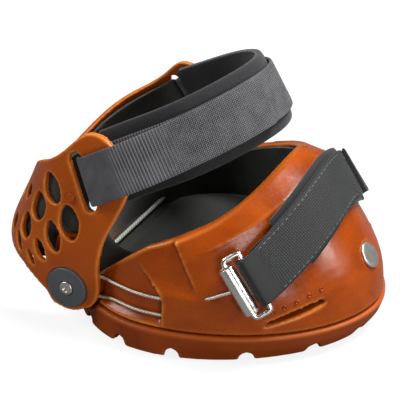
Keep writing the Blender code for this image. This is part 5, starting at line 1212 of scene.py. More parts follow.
@dataclass
class Linings:
    """The black lining of the shell, the insole and the toe rivet."""

    form: HoofForm
    shell: HoofShell
    thickness: float = 2.0 * MM
    clearance: float = 0.5 * MM
    insole_thickness: float = 4.0 * MM
    insole_clearance: float = 1.6 * MM
    insole_rear: float = -49.0 * MM
    heel_wall: float = 45.0 * MM
    heel_floor: float = 1.5 * MM
    heel_softness: float = 2.0 * MM
    heel_blend: tuple = (0.0, 0.3)
    crown_share: float = 0.95
    crown_fall: float = 0.33
    lining_columns: int = 288
    sheet_columns: int = 240
    weld: float = 0.01 * MM
    # Size and height, by share, of each ring of a foam sheet
    sheet_rings: tuple = ((0.0, 0.0), (0.97, 0.0), (1.0, 0.25), (1.0, 0.75), (0.97, 1.0), (0.9, 0.97),
                          (0.6, 0.9), (0.3, 0.88), (0.0, 0.87))

    def lining(self) -> Mesh:
        """A thin skin that follows the shell's inside, rounded over at its top."""
        form = self.form
        angles = all_round(self.lining_columns)
        rim, crease = form.rim_height(angles), form.crease_height(angles)
        low = np.full_like(angles, form.floor_top + GAP)
        crown = between(crease, rim, self.crown_share - self.crown_fall * form.collar_share(angles))
        heel = smoothstep(-form.forward_share(angles), *self.heel_blend)
        crown = crown + softplus(self.heel_wall - crown, self.heel_softness) * heel
        levels = [between(low, crease, share) for share in (0.0, 0.25, 0.5, 0.75)]
        levels += [between(crease, crown, share) for share in (0.0, 0.3, 0.6, 0.94)]
        depths = (self.clearance, self.clearance + self.thickness)
        outer, inner = ([form.inner_point(angles, z, d) for z in levels] for d in depths)
        crest = form.inner_point(angles, crown, sum(depths) / 2.0)
        return mesh_from_grid(np.array(outer + [crest] + inner[::-1]), wrap_ends=True)

    def sheet(self, rear: float, front: float, thickness: float) -> Mesh:
        """A foam sheet cut to the shell's floor between two Xs, softly rounded, with a shallow dish."""
        form = self.form
        angles = all_round(self.sheet_columns)
        low = form.floor_top + GAP
        depth = form.wall + self.clearance + self.thickness + self.insole_clearance
        ring = form.plan_point(angles, np.full_like(angles, low), depth)
        ring[:, 0] = np.clip(ring[:, 0], rear, front)
        centre = np.array([(ring[:, 0].min() + ring[:, 0].max()) / 2.0, 0.0, 0.0])
        rows = []
        for share, rise in self.sheet_rings:
            row = centre + (ring - centre) * np.array([share, share, 0.0])
            row[:, 2] = low + thickness * rise
            rows.append(row)
        return outward(mesh_from_grid(np.array(rows), caps=False), self.weld)

    def rivet(self) -> Mesh:
        """The domed rivet, its stem and its spread end, by radius and level in millimetres."""
        place, normal = self.shell.rivet_frame()
        wall = self.form.wall * math.sin(self.form.toe_angle)
        end = (self.shell.washer_seat - wall - GAP - 1.0 * MM - GAP) / MM
        head = self.shell.rivet_head / MM
        profile = np.array((
            (0.6, 0.42), (head * 0.5, 0.5), (head - 0.7, 0.46), (head - 0.25, 0.3), (head, 0.0), (head, -1.0),
            (head - 0.1, -1.1), (2.2, -1.1), (2.2, end), (3.4, end), (3.2, end - 0.8), (2.4, end - 1.2),
        ))
        return turned_mesh(profile * MM, place, normal, RIVET_SIDES)

    def build(self, finishes: Finishes) -> None:
        """Makes the lining, the insole and the rivet."""
        place_piece("shell_lining", self.lining(), finishes.lining, "boot", "shell_liner")
        heel = self.sheet(-math.inf, self.insole_rear - GAP * 2.0, self.heel_floor)
        place_piece("lining_heel_floor", heel, finishes.lining, "boot")
        sole = self.sheet(self.insole_rear, math.inf, self.insole_thickness)
        insole = place_piece("foam_insole", sole, finishes.insole, "boot", "insole_pad")
        place_piece("rivet_turned", self.rivet(), finishes.steel, "boot", "toe_rivet", METAL)


# Cables and buckles

@dataclass
class Cables:
    """Both draw cables, their ferrules and stops, and the cable across the heel."""

    form: HoofForm
    hub: HubForm
    buckles: "Buckles"
    radius: float = 0.75 * MM
    port_depth: float = 2.6 * MM
    upper_port: float = 31.3 * MM
    lower_port: float = 22.0 * MM
    rear_port_x: float = -0.5 * MM
    front_port_x: float = 22.3 * MM
    front_port_height: float = 35.5 * MM
    front_port_depth: float = 0.6 * MM
    exit_x: float = -38.0 * MM
    ferrule_radius: float = 1.7 * MM
    ferrule_length: float = 9.0 * MM
    mouth_depth: float = 1.8 * MM
    stop_length: float = 4.0 * MM
    heel_radius: float = 1.2 * MM
    tunnel_radius: float = 1.15 * MM
    wrap: tuple = (80.0, 280.0)
    wrap_points: int = 11
    wing_shares: tuple = (0.4, 0.8)
    overshoot: tuple = (0.3, 0.35)
    tunnel_step: float = 3.0 * MM
    cable_step: float = 1.2
    heel_points: int = 120

    def hub_point(self, turn: float) -> np.ndarray:
        """A point of the cable's turn round the left bush, by angle in degrees."""
        radius = self.hub.groove_radius + GAP + self.radius
        y = self.hub.guard_inner + self.hub.guard + self.hub.bush_space / 2.0
        turn = math.radians(turn)
        return np.array([self.hub.x + radius * math.cos(turn), y, self.hub.height + radius * math.sin(turn)])

    def ports(self) -> tuple[np.ndarray, np.ndarray, np.ndarray, np.ndarray]:
        """On the left: buckle tube, front and rear of the upper tunnel, and mouth of the lower hole."""
        front = self.form.port_point(self.front_port_x, self.front_port_height, self.front_port_depth)
        rear, low = (self.form.port_point(self.rear_port_x, height, self.port_depth)
                     for height in (self.upper_port, self.lower_port))
        return self.buckles.axes()[0], front, rear, low

    def run(self, port: float, turn: float) -> list[np.ndarray]:
        """Points from a rear port over the wing to the bush."""
        far = self.exit_x - self.rear_port_x
        wing = [self.rear_port_x + far * share for share in self.wing_shares]
        end = self.hub_point(turn)
        points = [self.form.port_point(x, port, self.port_depth) for x in wing]
        return points + [np.array([self.exit_x, end[1], (port + end[2]) / 2.0])]

    def route(self, side: Side) -> np.ndarray:
        """The whole cable: buckle, boss, round the hub and back to its ferrule in the boss."""
        tube, front, rear, low = self.ports()
        start = tube - unit(tube - front) * self.stop_length / 2.0
        points = [start, (start + front) / 2.0, front, (rear + front) / 2.0, rear]
        points += self.run(self.upper_port, self.wrap[0])
        points += [self.hub_point(turn) for turn in np.linspace(*self.wrap, self.wrap_points)]
        points += self.run(self.lower_port, self.wrap[1])[::-1]
        return smooth_route(mirrored(points + [low], side), self.radius * self.cable_step)

    def port_cutters(self, side: Side) -> list[Mesh]:
        """The tunnel of the upper cable and the hole of the lower one's ferrule."""
        tube, front, rear, low = self.ports()
        back, forth = self.overshoot
        start, end = rear + (rear - front) * back, front + (tube - front) * forth
        way = [start, rear, (rear + front) / 2.0, front, end]
        tunnel = wire_mesh(smooth_route(mirrored(way, side), self.tunnel_step), self.tunnel_radius, SIDEWAYS)
        ahead = self.form.port_point(self.rear_port_x + self.ferrule_length, self.lower_port, self.port_depth)
        radius = self.ferrule_radius + HOLE_CLEARANCE
        profile = [(radius, -CUT_OVERRUN), (radius, self.mouth_depth)]
        mouth, direction = mirrored([low, unit(ahead - low)], side)
        return [tunnel, turned_mesh(profile, mouth, direction, HOLE_SIDES)]

    def build(self, finishes: Finishes) -> None:
        """Makes the cables and dresses their end pieces."""
        for side in Side:
            tag = side.tag
            mesh = wire_mesh(self.route(side), self.radius, SIDEWAYS)
            place_piece(f"draw_cable_{tag}", mesh, finishes.cable, "boot", f"cable_{tag}")
            dress(f"cable_ferrule_{tag}", finishes.steel)
            dress(f"cable_stop_{tag}", finishes.steel)
        half = self.hub.guard_inner - GAP - self.hub.nut_thickness - GAP
        axis = np.array([self.hub.x, 0.0, self.hub.height])
        line = axis + np.linspace(-half, half, self.heel_points)[:, None] * SIDEWAYS
        mesh = wire_mesh(line, self.heel_radius, FORWARD, RING_SIDES)
        place_piece("heel_cable_sleeved", mesh, finishes.sleeve, "heel_cup",
                    "heel_cable")


@dataclass
class Buckles:
    """Each buckle: a plated tube and the wire ring that carries the strap."""

    form: HoofForm
    foot_x: float = 35.1 * MM
    foot_height: float = 41.5 * MM
    stand_off: float = 5.45 * MM
    lean: float = math.radians(34)
    tube_length: float = 26.0 * MM
    tube_radius: float = 4.0 * MM
    tube_wall: float = 1.7 * MM
    wire: float = 1.5 * MM
    reach: float = 9.0 * MM
    plug: float = 5.0 * MM
    rim: float = 0.4 * MM
    rim_points: int = 6
    bend_share: float = 0.9

    def axes(self) -> tuple[np.ndarray, np.ndarray, np.ndarray]:
        """Place of the left tube, its long direction and the way from it to the strap bar."""
        _, foot, normal = self.form.wall_spot(self.foot_x, self.foot_height)
        long_axis = np.array([math.sin(self.lean), 0.0, -math.cos(self.lean)])
        across = unit(np.cross(normal, long_axis))
        across = across * np.sign(across[0])
        return foot + normal * self.stand_off, unit(long_axis - across * long_axis.dot(across)), across

    def ring_route(self) -> np.ndarray:
        """The wire's way: out of one tube end, round the strap bar and into the other end."""
        place, long_axis, across = self.axes()
        half = self.tube_length / 2.0
        bend = self.tube_radius * self.bend_share
        out = half + self.wire + bend * 0.4
        steps = np.array([
            (half - self.plug, 0.0), (half, 0.0), (out, bend * 0.25), (out + bend * 0.1, self.reach / 2.0),
            (out, self.reach - bend * 0.2), (half - bend * 0.1, self.reach),
        ])
        route = steps[:, :1] * long_axis + steps[:, 1:] * across
        back = route[::-1] - 2.0 * (route[::-1] @ long_axis)[:, None] * long_axis
        return place + np.concatenate([route, back])

    def build(self, finishes: Finishes) -> None:
        """Makes the tubes, rounded at their rims, and the rings."""
        bore, half, edge = self.tube_radius - self.tube_wall, self.tube_length / 2.0, self.rim
        corner = rounded_corner(self.tube_radius, half, edge, self.rim_points)
        half_profile = [*corner, (bore + edge / 2.0, half), (bore, half - edge)]
        profile = [(radius, -level) for radius, level in half_profile[::-1]] + half_profile
        place, long_axis, across = self.axes()
        for side in Side:
            tag = side.tag
            tube = turned_mesh(profile, mirrored(place, side), mirrored(long_axis, side), bore=True)
            route = smooth_route(mirrored(self.ring_route(), side), self.wire * 0.5)
            ring = wire_mesh(route, self.wire, mirrored(np.cross(long_axis, across), side), RING_SIDES)
            place_piece(f"plated_tube_{tag}", tube, finishes.plate, "boot",
                        f"buckle_tube_{tag}", METAL)
            place_piece(f"wire_ring_{tag}", ring, finishes.plate, "boot",
                        f"buckle_ring_{tag}")


# Heel cup

@dataclass
class HeelCup:
    """The cup behind the heel with its windows, lining, studs and hub."""

    form: CupForm
    straps: "PasternStrap"
    top_shares: tuple = (0.0, 0.1, 0.2, 0.283, 0.4, 0.5, 0.564, 0.641, 0.8, 0.9, 1.0)
    top_heights: tuple = (49.0, 50.5, 55.0, 61.0, 70.5, 77.5, 81.0, 85.5, 98.0, 103.5, 105.5)
    corner_share: float = 0.88
    corner_drop: float = 6.0 * MM
    bottom_shares: tuple = (0.0, 0.3, 0.512, 0.645, 0.759, 0.847, 0.92, 0.96, 1.0)
    bottom_heights: tuple = (35.0, 34.6, 33.0, 28.0, 19.0, 11.0, 9.0, 10.0, 14.0)
    windows: tuple = (
        (98.7, 72.5, 10.5, 17.5, 42.0), (86.7, 58.1, 11.0, 18.5, 18.0), (105.7, 60.8, 12.0, 15.0, 26.0),
        (94.2, 49.3, 8.5, 17.0, 22.0), (120.5, 61.5, 8.5, 8.5, 26.0), (111.4, 48.6, 9.5, 14.0, 30.0),
        (100.3, 40.3, 6.0, 12.5, 28.0), (114.5, 38.5, 5.0, 11.0, 30.0), (105.5, 33.5, 4.0, 9.0, 28.0),
        (132.0, 58.0, 8.0, 14.0, 26.0), (124.5, 43.5, 8.0, 10.5, 26.0), (141.0, 48.5, 8.5, 15.0, 26.0),
        (154.0, 46.0, 8.5, 12.5, 26.0), (166.5, 43.5, 7.5, 8.5, 26.0),
    )
    stud_angle: float = math.radians(86.8)
    stud_height: float = 70.8 * MM
    stud_radius: float = 2.4 * MM
    liner_thickness: float = 3.0 * MM
    liner_clearance: float = 0.6 * MM
    liner_shares: tuple = (0.0, 0.2, 0.4, 0.6, 0.7, 0.76, 0.795, 0.83, 0.87, 0.95)
    liner_floors: tuple = (37.0, 36.5, 35.0, 31.0, 29.0, 28.5, 28.8, 29.0, 34.0, 47.0)
    liner_tops: tuple = (46.5, 52.0, 67.0, 79.0, 86.0, 90.5, 92.0, 77.0, 65.0, 62.0)
    liner_drop: float = 10.0 * MM
    drop_low: float = 40.0 * MM
    drop_high: float = 56.0 * MM
    leaf_power: float = 1.15
    top_ease: float = 0.04
    stud_bore: float = 1.6 * MM
    voxel: float = 0.75 * MM
    smoothing: int = 4
    lining_voxel: float = 0.8 * MM
    lining_smoothing: int = 6
    columns: int = 221
    rows: int = 44
    lining_columns: int = 181
    lining_rows: int = 36
    leaf_points: int = 40
    lining_bore: tuple = (-14.0 * MM, 6.0 * MM)

    def window(self, angle: float, height: float, width: float, tall: float, lean: float) -> Mesh:
        """A leaning leaf outline, powers of cosine and sine, driven straight through the wall."""
        place, normal, level = self.form.spot(angle, height)
        up = unit(np.cross(normal, level))
        lean = math.copysign(lean, angle)
        leaf = power_of(circle(self.leaf_points), self.leaf_power) * np.array([width, tall]) / 2.0
        wide_way = level * math.cos(lean) - up * math.sin(lean)
        ring = place + leaf[:, :1] * wide_way + leaf[:, 1:] * (up * math.cos(lean) + level * math.sin(lean))
        wall = self.form.hub.cup_wall
        return mesh_from_grid(ring[None] + np.array([wall, -2.0 * wall])[:, None, None] * normal)

    def stud(self, side: Side, profile: list) -> Mesh:
        """A turned mesh across the wall at the lining's stud."""
        place, normal, _ = self.form.spot(self.stud_angle * side.value, self.stud_height)
        return turned_mesh(profile, place, normal, STUD_SIDES)

    def cutters(self, side: Side) -> list[Mesh]:
        """One side's disc seat, screw hole, strap slot, stud hole and windows."""
        hub = self.form.hub
        seat, bore = hub.disc_radius + HOLE_CLEARANCE, hub.screw_radius + HOLE_CLEARANCE
        low, top = hub.cup_half - hub.disc_seat, hub.cup_half + CUT_OVERRUN
        cuts = [
            hub.turned(side, [(seat, low), (seat, top)], SEAT_SIDES, False),
            hub.turned(side, [(bore, hub.guard_inner), (bore, top - CUT_OVERRUN / 2.0)], HOLE_SIDES, False),
            self.straps.slot_cutter(side),
            self.stud(side, [(self.stud_bore, -3.0 * hub.cup_wall), (self.stud_bore, CUT_OVERRUN)]),
        ]
        for angle, height, width, tall, lean in self.windows:
            turn = math.radians(angle) * side.value
            cuts.append(self.window(turn, height * MM, width * MM, tall * MM, math.radians(lean)))
        return cuts

    def shell(self) -> Mesh:
        """The cup's wall with everything cut into it."""
        columns = np.linspace(-1.0, 1.0, self.columns)
        share = np.abs(columns)
        bottom = np.interp(share, self.bottom_shares, np.array(self.bottom_heights) * MM)
        top = eased(share, self.top_shares, np.array(self.top_heights) * MM, self.top_ease)
        corner = np.clip((share - self.corner_share) / (1.0 - self.corner_share), 0.0, 1.0)
        top = top - self.corner_drop * (1.0 - np.sqrt(1.0 - corner ** 2))
        height = between(bottom, top, np.linspace(0.0, 1.0, self.rows)[:, None])
        insets = (0.0, self.form.hub.cup_wall)
        base = slab_mesh(*(self.form.grid(columns, height, inset, inset) for inset in insets))
        cutters = [cut for side in Side for cut in self.cutters(side)]
        return moulded(base, cutters, self.voxel, self.smoothing)

    def lining(self) -> Mesh:
        """The padded lining: a plate inside the wall, let in clear of the nuts at its foot."""
        wall = self.form.hub.cup_wall
        columns = np.linspace(-1.0, 1.0, self.lining_columns) * self.liner_shares[-1]
        share = np.abs(columns)
        floors, tops = (np.interp(share, self.liner_shares, np.array(line) * MM)
                        for line in (self.liner_floors, self.liner_tops))
        height = between(floors, tops, np.linspace(0.0, 1.0, self.lining_rows)[:, None])
        beside = smoothstep(share, self.liner_shares[3], self.liner_shares[5])
        drop = self.liner_drop * beside * (1.0 - smoothstep(height, self.drop_low, self.drop_high))
        low = wall + self.liner_clearance + drop
        insets = (low, low + self.liner_thickness)
        return slab_mesh(*(self.form.grid(columns, height, wall, inset) for inset in insets))

    def build(self, finishes: Finishes) -> None:
        """Makes the cup, its lining and its studs."""
        place_piece("heel_cup_cast", self.shell(), finishes.cup, "heel_cup", "heel_cup", CAST)
        bore = [(self.stud_bore, level) for level in self.lining_bore]
        holes = [self.stud(side, bore) for side in Side]
        lining = moulded(self.lining(), holes, self.lining_voxel, self.lining_smoothing)
        piece = place_piece("cup_lining", lining, finishes.lining, "heel_cup", "heel_cup_liner",
                            CAST)
        tail = -(self.form.hub.cup_wall + self.liner_clearance + self.liner_thickness + GAP) / MM
        rim, level = self.stud_radius / MM, GAP / MM
        profile = np.array((
            (0.5, 0.75 + level), (1.2, 1.0 + level), (rim - 0.5, 1.0 + level), (rim, 0.5 + level),
            (rim, level), (1.3, level), (1.3, tail), (rim, tail), (rim - 0.3, tail - 0.5),
        )) * MM
        for side in Side:
            tag = side.tag
            place_piece(f"lining_stud_{tag}", self.stud(side, profile), finishes.cup, "heel_cup",
                        f"liner_stud_{tag}", FINE)


@dataclass
class Hubs:
    """Cap disc, screw, nut, bush and guard plate on each side."""

    hub: HubForm
    head_thickness: float = 1.4 * MM
    edge: float = 0.6 * MM
    edge_points: int = 7

    def build(self, finishes: Finishes) -> None:
        """Makes the disc and the screw, and dresses the pieces that stay as they are."""
        hub, edge = self.hub, self.edge
        hole = hub.screw_radius + HOLE_CLEARANCE
        low = hub.cup_half - hub.disc_seat + GAP
        top = low + hub.disc_thickness
        recess = hub.screw_head + HOLE_CLEARANCE
        head_low = top - self.head_thickness
        rim = rounded_corner(hub.disc_radius, top, edge, self.edge_points)
        disc = [(hole, low), (hub.disc_radius, low), *rim, (recess + 0.2 * MM, top), (recess, top - 0.2 * MM),
                (recess, head_low - GAP), (hole, head_low - GAP)]
        crown, head = top + edge, hub.screw_head
        screw = [
            (hub.screw_radius, hub.guard_inner - GAP - hub.nut_thickness), (hub.screw_radius, head_low),
            (head, head_low), (head, top), (head - 0.2 * MM, top + 0.35 * MM), (head - edge, crown),
            (1.9 * MM, crown), (1.7 * MM, crown - 0.2 * MM), (1.7 * MM, crown - 0.9 * MM),
            (0.4 * MM, crown - 1.1 * MM),
        ]
        for side in Side:
            tag = side.tag
            place_piece(f"cap_disc_{tag}", hub.turned(side, disc, SEAT_SIDES), finishes.disc, "heel_cup",
                        f"hub_disc_{tag}", TURNED)
            turned = hub.turned(side, screw, SCREW_SIDES, False)
            place_piece(f"hub_screw_turned_{tag}", turned, finishes.steel, "heel_cup",
                        f"hub_screw_{tag}", TURNED)
            dress(f"hub_nut_{tag}", finishes.steel)
            dress(f"hub_bush_{tag}", finishes.acetal)
            dress(f"guard_plate_{tag}", finishes.cup)
        dress("toe_rivet_washer", finishes.steel)


# Straps

@dataclass(frozen=True)
class Webbing:
    """Sizes of the webbing that every strap is cut from, and its thread."""

    width: float = 25.4 * MM
    thickness: float = 1.8 * MM
    stitch_gap: float = 0.3 * MM
    fade_in: float = 2.0 * MM
    fade_out: float = 3.0 * MM
    thread: Thread = Thread()

    def profile(self) -> np.ndarray:
        """The webbing's outline."""
        return band_profile(self.width, self.thickness, WEBBING_SQUARENESS)

    def mark_plain(self, mesh: Mesh, spine: np.ndarray, stretch: float) -> None:
        """Marks a strap as smooth, in the "plain" attribute, over a stretch from its first end."""
        lengths = travelled(spine)
        share = smoothstep(lengths, -self.fade_in, 0.0)
        share = share * (1.0 - smoothstep(lengths, stretch, stretch + self.fade_out))
        add_attribute(mesh, "plain", np.repeat(share, BAND_COLUMNS))


@dataclass
class PasternStrap:
    """The pastern's strap: inner layer with a sewn loop on the left, pad, and swinging flap on the right."""

    cup: CupForm
    web: Webbing = Webbing()
    tilt: float = math.radians(28)
    axis_x: float = -46.4 * MM
    axis_height: float = 81.6 * MM
    reach: float = 83.0 * MM
    squareness: float = 1.85
    fold_radius: float = 3.1 * MM
    ear_length: float = 19.0 * MM
    merge_length: float = 58.0 * MM
    loop_length: float = 62.0 * MM
    flap_end: float = 0.13
    flap_clearance: float = 0.8 * MM
    pad_thickness: float = 5.0 * MM
    pad_width: float = 38.0 * MM
    pad_clearance: float = 0.7 * MM
    pad_start: float = 4.0 * MM
    slot_width: float = 7.0 * MM
    slot_length: float = 31.5 * MM
    slot_shift: float = 5.05 * MM
    loop_inset: float = 2.2 * MM
    flap_inset: float = 1.6 * MM
    tail_turn: float = math.radians(120)
    points: int = 60
    loop_points: int = 120
    fold_points: int = 24
    tail_points: int = 16
    slot_points: int = 15
    slope_step: float = 0.004
    strap_plain: float = 12.0 * MM
    flap_plain: float = 24.0 * MM
    flap_seam: tuple = (34, -2)

    def forward(self) -> np.ndarray:
        """The strap plane's forward direction."""
        return np.array([math.cos(self.tilt), 0.0, math.sin(self.tilt)])

    def axis_y(self) -> float:
        """Distance of a fold's axis from the middle plane, inside the ear's wall."""
        return float(self.cup.side(self.axis_x, self.axis_height, self.cup.hub.cup_wall / 2.0))

    def across(self, side) -> np.ndarray:
        """Direction of the strap's width, leaning in with the ear's wall, for -1 to 1 round the loop."""
        share = np.array([-1.0, 1.0]) * self.web.width / 2.0
        x = self.axis_x - math.sin(self.tilt) * share
        height = self.axis_height + math.cos(self.tilt) * share
        depth = self.cup.side(x, height, self.cup.hub.cup_wall / 2.0)
        lean = np.diff(np.stack([x, depth, height], axis=1), axis=0)[0]
        return unit(lean * np.stack(np.broadcast_arrays(1.0, np.asarray(side, dtype=float), 1.0), axis=-1))

    def loop(self, turn) -> tuple[np.ndarray, np.ndarray]:
        """Distances forward and sideways of the loop, a quarter superellipse each way from the front."""
        angle = np.asarray(turn) * math.pi / 2.0
        power = 2.0 / self.squareness
        return self.reach * np.abs(np.cos(angle)) ** power, self.axis_y() * power_of(np.sin(angle), power)

    def line(self, turn, offset) -> np.ndarray:
        """Points of the loop set off outward by an amount each."""
        step = self.slope_step
        before, after = self.loop(np.clip(turn - step, -1.0, 1.0)), self.loop(np.clip(turn + step, -1.0, 1.0))
        run = np.stack([after[0] - before[0], after[1] - before[1]])
        run = run / np.linalg.norm(run, axis=0)
        forward, sideways = self.loop(turn)
        return np.stack([forward + run[1] * offset, sideways - run[0] * offset], axis=1)

    def arc(self, side: Side, start: float, stop: float, radius: float, count: int) -> np.ndarray:
        """Points about a slot's front edge, turning rearward and inward from straight outward."""
        turns = np.linspace(start, stop, count)
        sideways = side.value * (self.axis_y() + radius * np.cos(turns))
        return np.stack([-radius * np.sin(turns), sideways], axis=1)

    def merged(self, turn, at_ear, beyond) -> np.ndarray:
        """Offset that changes from its value beside the ear to its value beyond it."""
        return between(at_ear, beyond, smoothstep(self.loop(turn)[0], self.ear_length, self.merge_length))

    def frame_of(self, path: np.ndarray) -> tuple[np.ndarray, np.ndarray, np.ndarray]:
        """Spine, width direction and outward direction of a band along points in the strap's plane."""
        origin = np.array([self.axis_x, 0.0, self.axis_height])
        spine = origin + path[:, 0:1] * self.forward() + path[:, 1:2] * SIDEWAYS
        across = self.across(np.clip(path[:, 1] / self.axis_y(), -1.0, 1.0))
        return spine, across, unit(np.cross(across, np.gradient(spine, axis=0)))

    def slot_cutter(self, side: Side) -> Mesh:
        """The cutter of an ear's slot, with round ends."""
        across, forward = self.across(side.value), self.forward()
        axis = np.array([self.axis_x, side.value * self.axis_y(), self.axis_height])
        radius = self.slot_width / 2.0
        straight = self.slot_length / 2.0 - radius
        turn = np.linspace(0.0, math.pi, self.slot_points)[:, None]
        half = across * (straight + radius * np.sin(turn)) + forward * radius * np.cos(turn)
        ring = axis - forward * self.slot_shift + np.concatenate([half, -half])
        depth = np.array([-2.0, 2.0])[:, None, None] * CUT_OVERRUN
        return mesh_from_grid(ring[None] + depth * SIDEWAYS)

    def band(self, path: np.ndarray, plain: float) -> tuple[Mesh, tuple]:
        """A webbing band along a path, plain over a first stretch, and its frame."""
        body = self.frame_of(path)
        mesh = swept_mesh(*body, self.web.profile(), BAND_END)
        self.web.mark_plain(mesh, body[0], plain)
        return mesh, body

    def build(self, finishes: Finishes) -> None:
        """Makes the strap, the pad and the flap with their seams."""
        web = self.web
        fold = self.fold_radius + web.thickness / 2.0
        inside = self.fold_radius + web.thickness * 1.5 + self.flap_clearance
        outside = web.thickness + web.stitch_gap
        turns = np.linspace(0.0, 1.0, self.points)
        turns = np.concatenate([np.linspace(-1.0, 0.0, self.points)[:-1], turns])
        strap = self.line(turns, self.merged(turns, np.where(turns < 0.0, -inside, -fold), 0.0))
        loop_turns = np.linspace(1.0, 0.0, self.loop_points)
        loop_turns = loop_turns[self.loop(loop_turns)[0] < self.loop_length]
        leaf = self.line(loop_turns, self.merged(loop_turns, fold, outside))
        arc = self.arc(Side.LEFT, math.pi, 0.0, fold, self.fold_points)
        path = np.vstack([strap[0] - np.array([fold, 0.0]), strap, arc[1:-1], leaf])
        mesh, body = self.band(path, self.strap_plain)
        place_piece("pastern_webbing", mesh, finishes.ribbed, "heel_cup", "pastern_strap")
        last = slice(len(path) - len(leaf) // 2, len(path) - 1)
        seam = web.thread.seams(*(part[last] for part in body), web, self.loop_inset)
        place_piece("loop_stitches", seam, finishes.thread, "heel_cup", sharp=FINE)

        drop = (web.thickness + self.pad_thickness) / 2.0 + self.pad_clearance
        pad_turns = turns[self.loop(turns)[0] >= self.pad_start]
        at_ear = np.where(pad_turns < 0.0, -inside, -fold) - drop
        body = self.frame_of(self.line(pad_turns, self.merged(pad_turns, at_ear, -drop)))
        pad = swept_mesh(*body, band_profile(self.pad_width, self.pad_thickness, PAD_SQUARENESS), PAD_END)
        piece = place_piece("pastern_neoprene", pad, finishes.neoprene, "heel_cup", "pastern_pad")

        flap_turns = np.linspace(-1.0, -self.flap_end, self.points)
        flap = self.line(flap_turns, self.merged(flap_turns, fold, outside))
        tail = self.arc(Side.RIGHT, self.tail_turn, 0.0, fold, self.tail_points)
        mesh, body = self.band(np.vstack([tail[:-1], flap]), self.flap_plain)
        place_piece("flap_webbing", mesh, finishes.ribbed, "pastern_flap", "pastern_flap")
        seam = web.thread.seams(*(part[slice(*self.flap_seam)] for part in body), web, self.flap_inset)
        place_piece("flap_stitches", seam, finishes.thread, "pastern_flap", sharp=FINE)


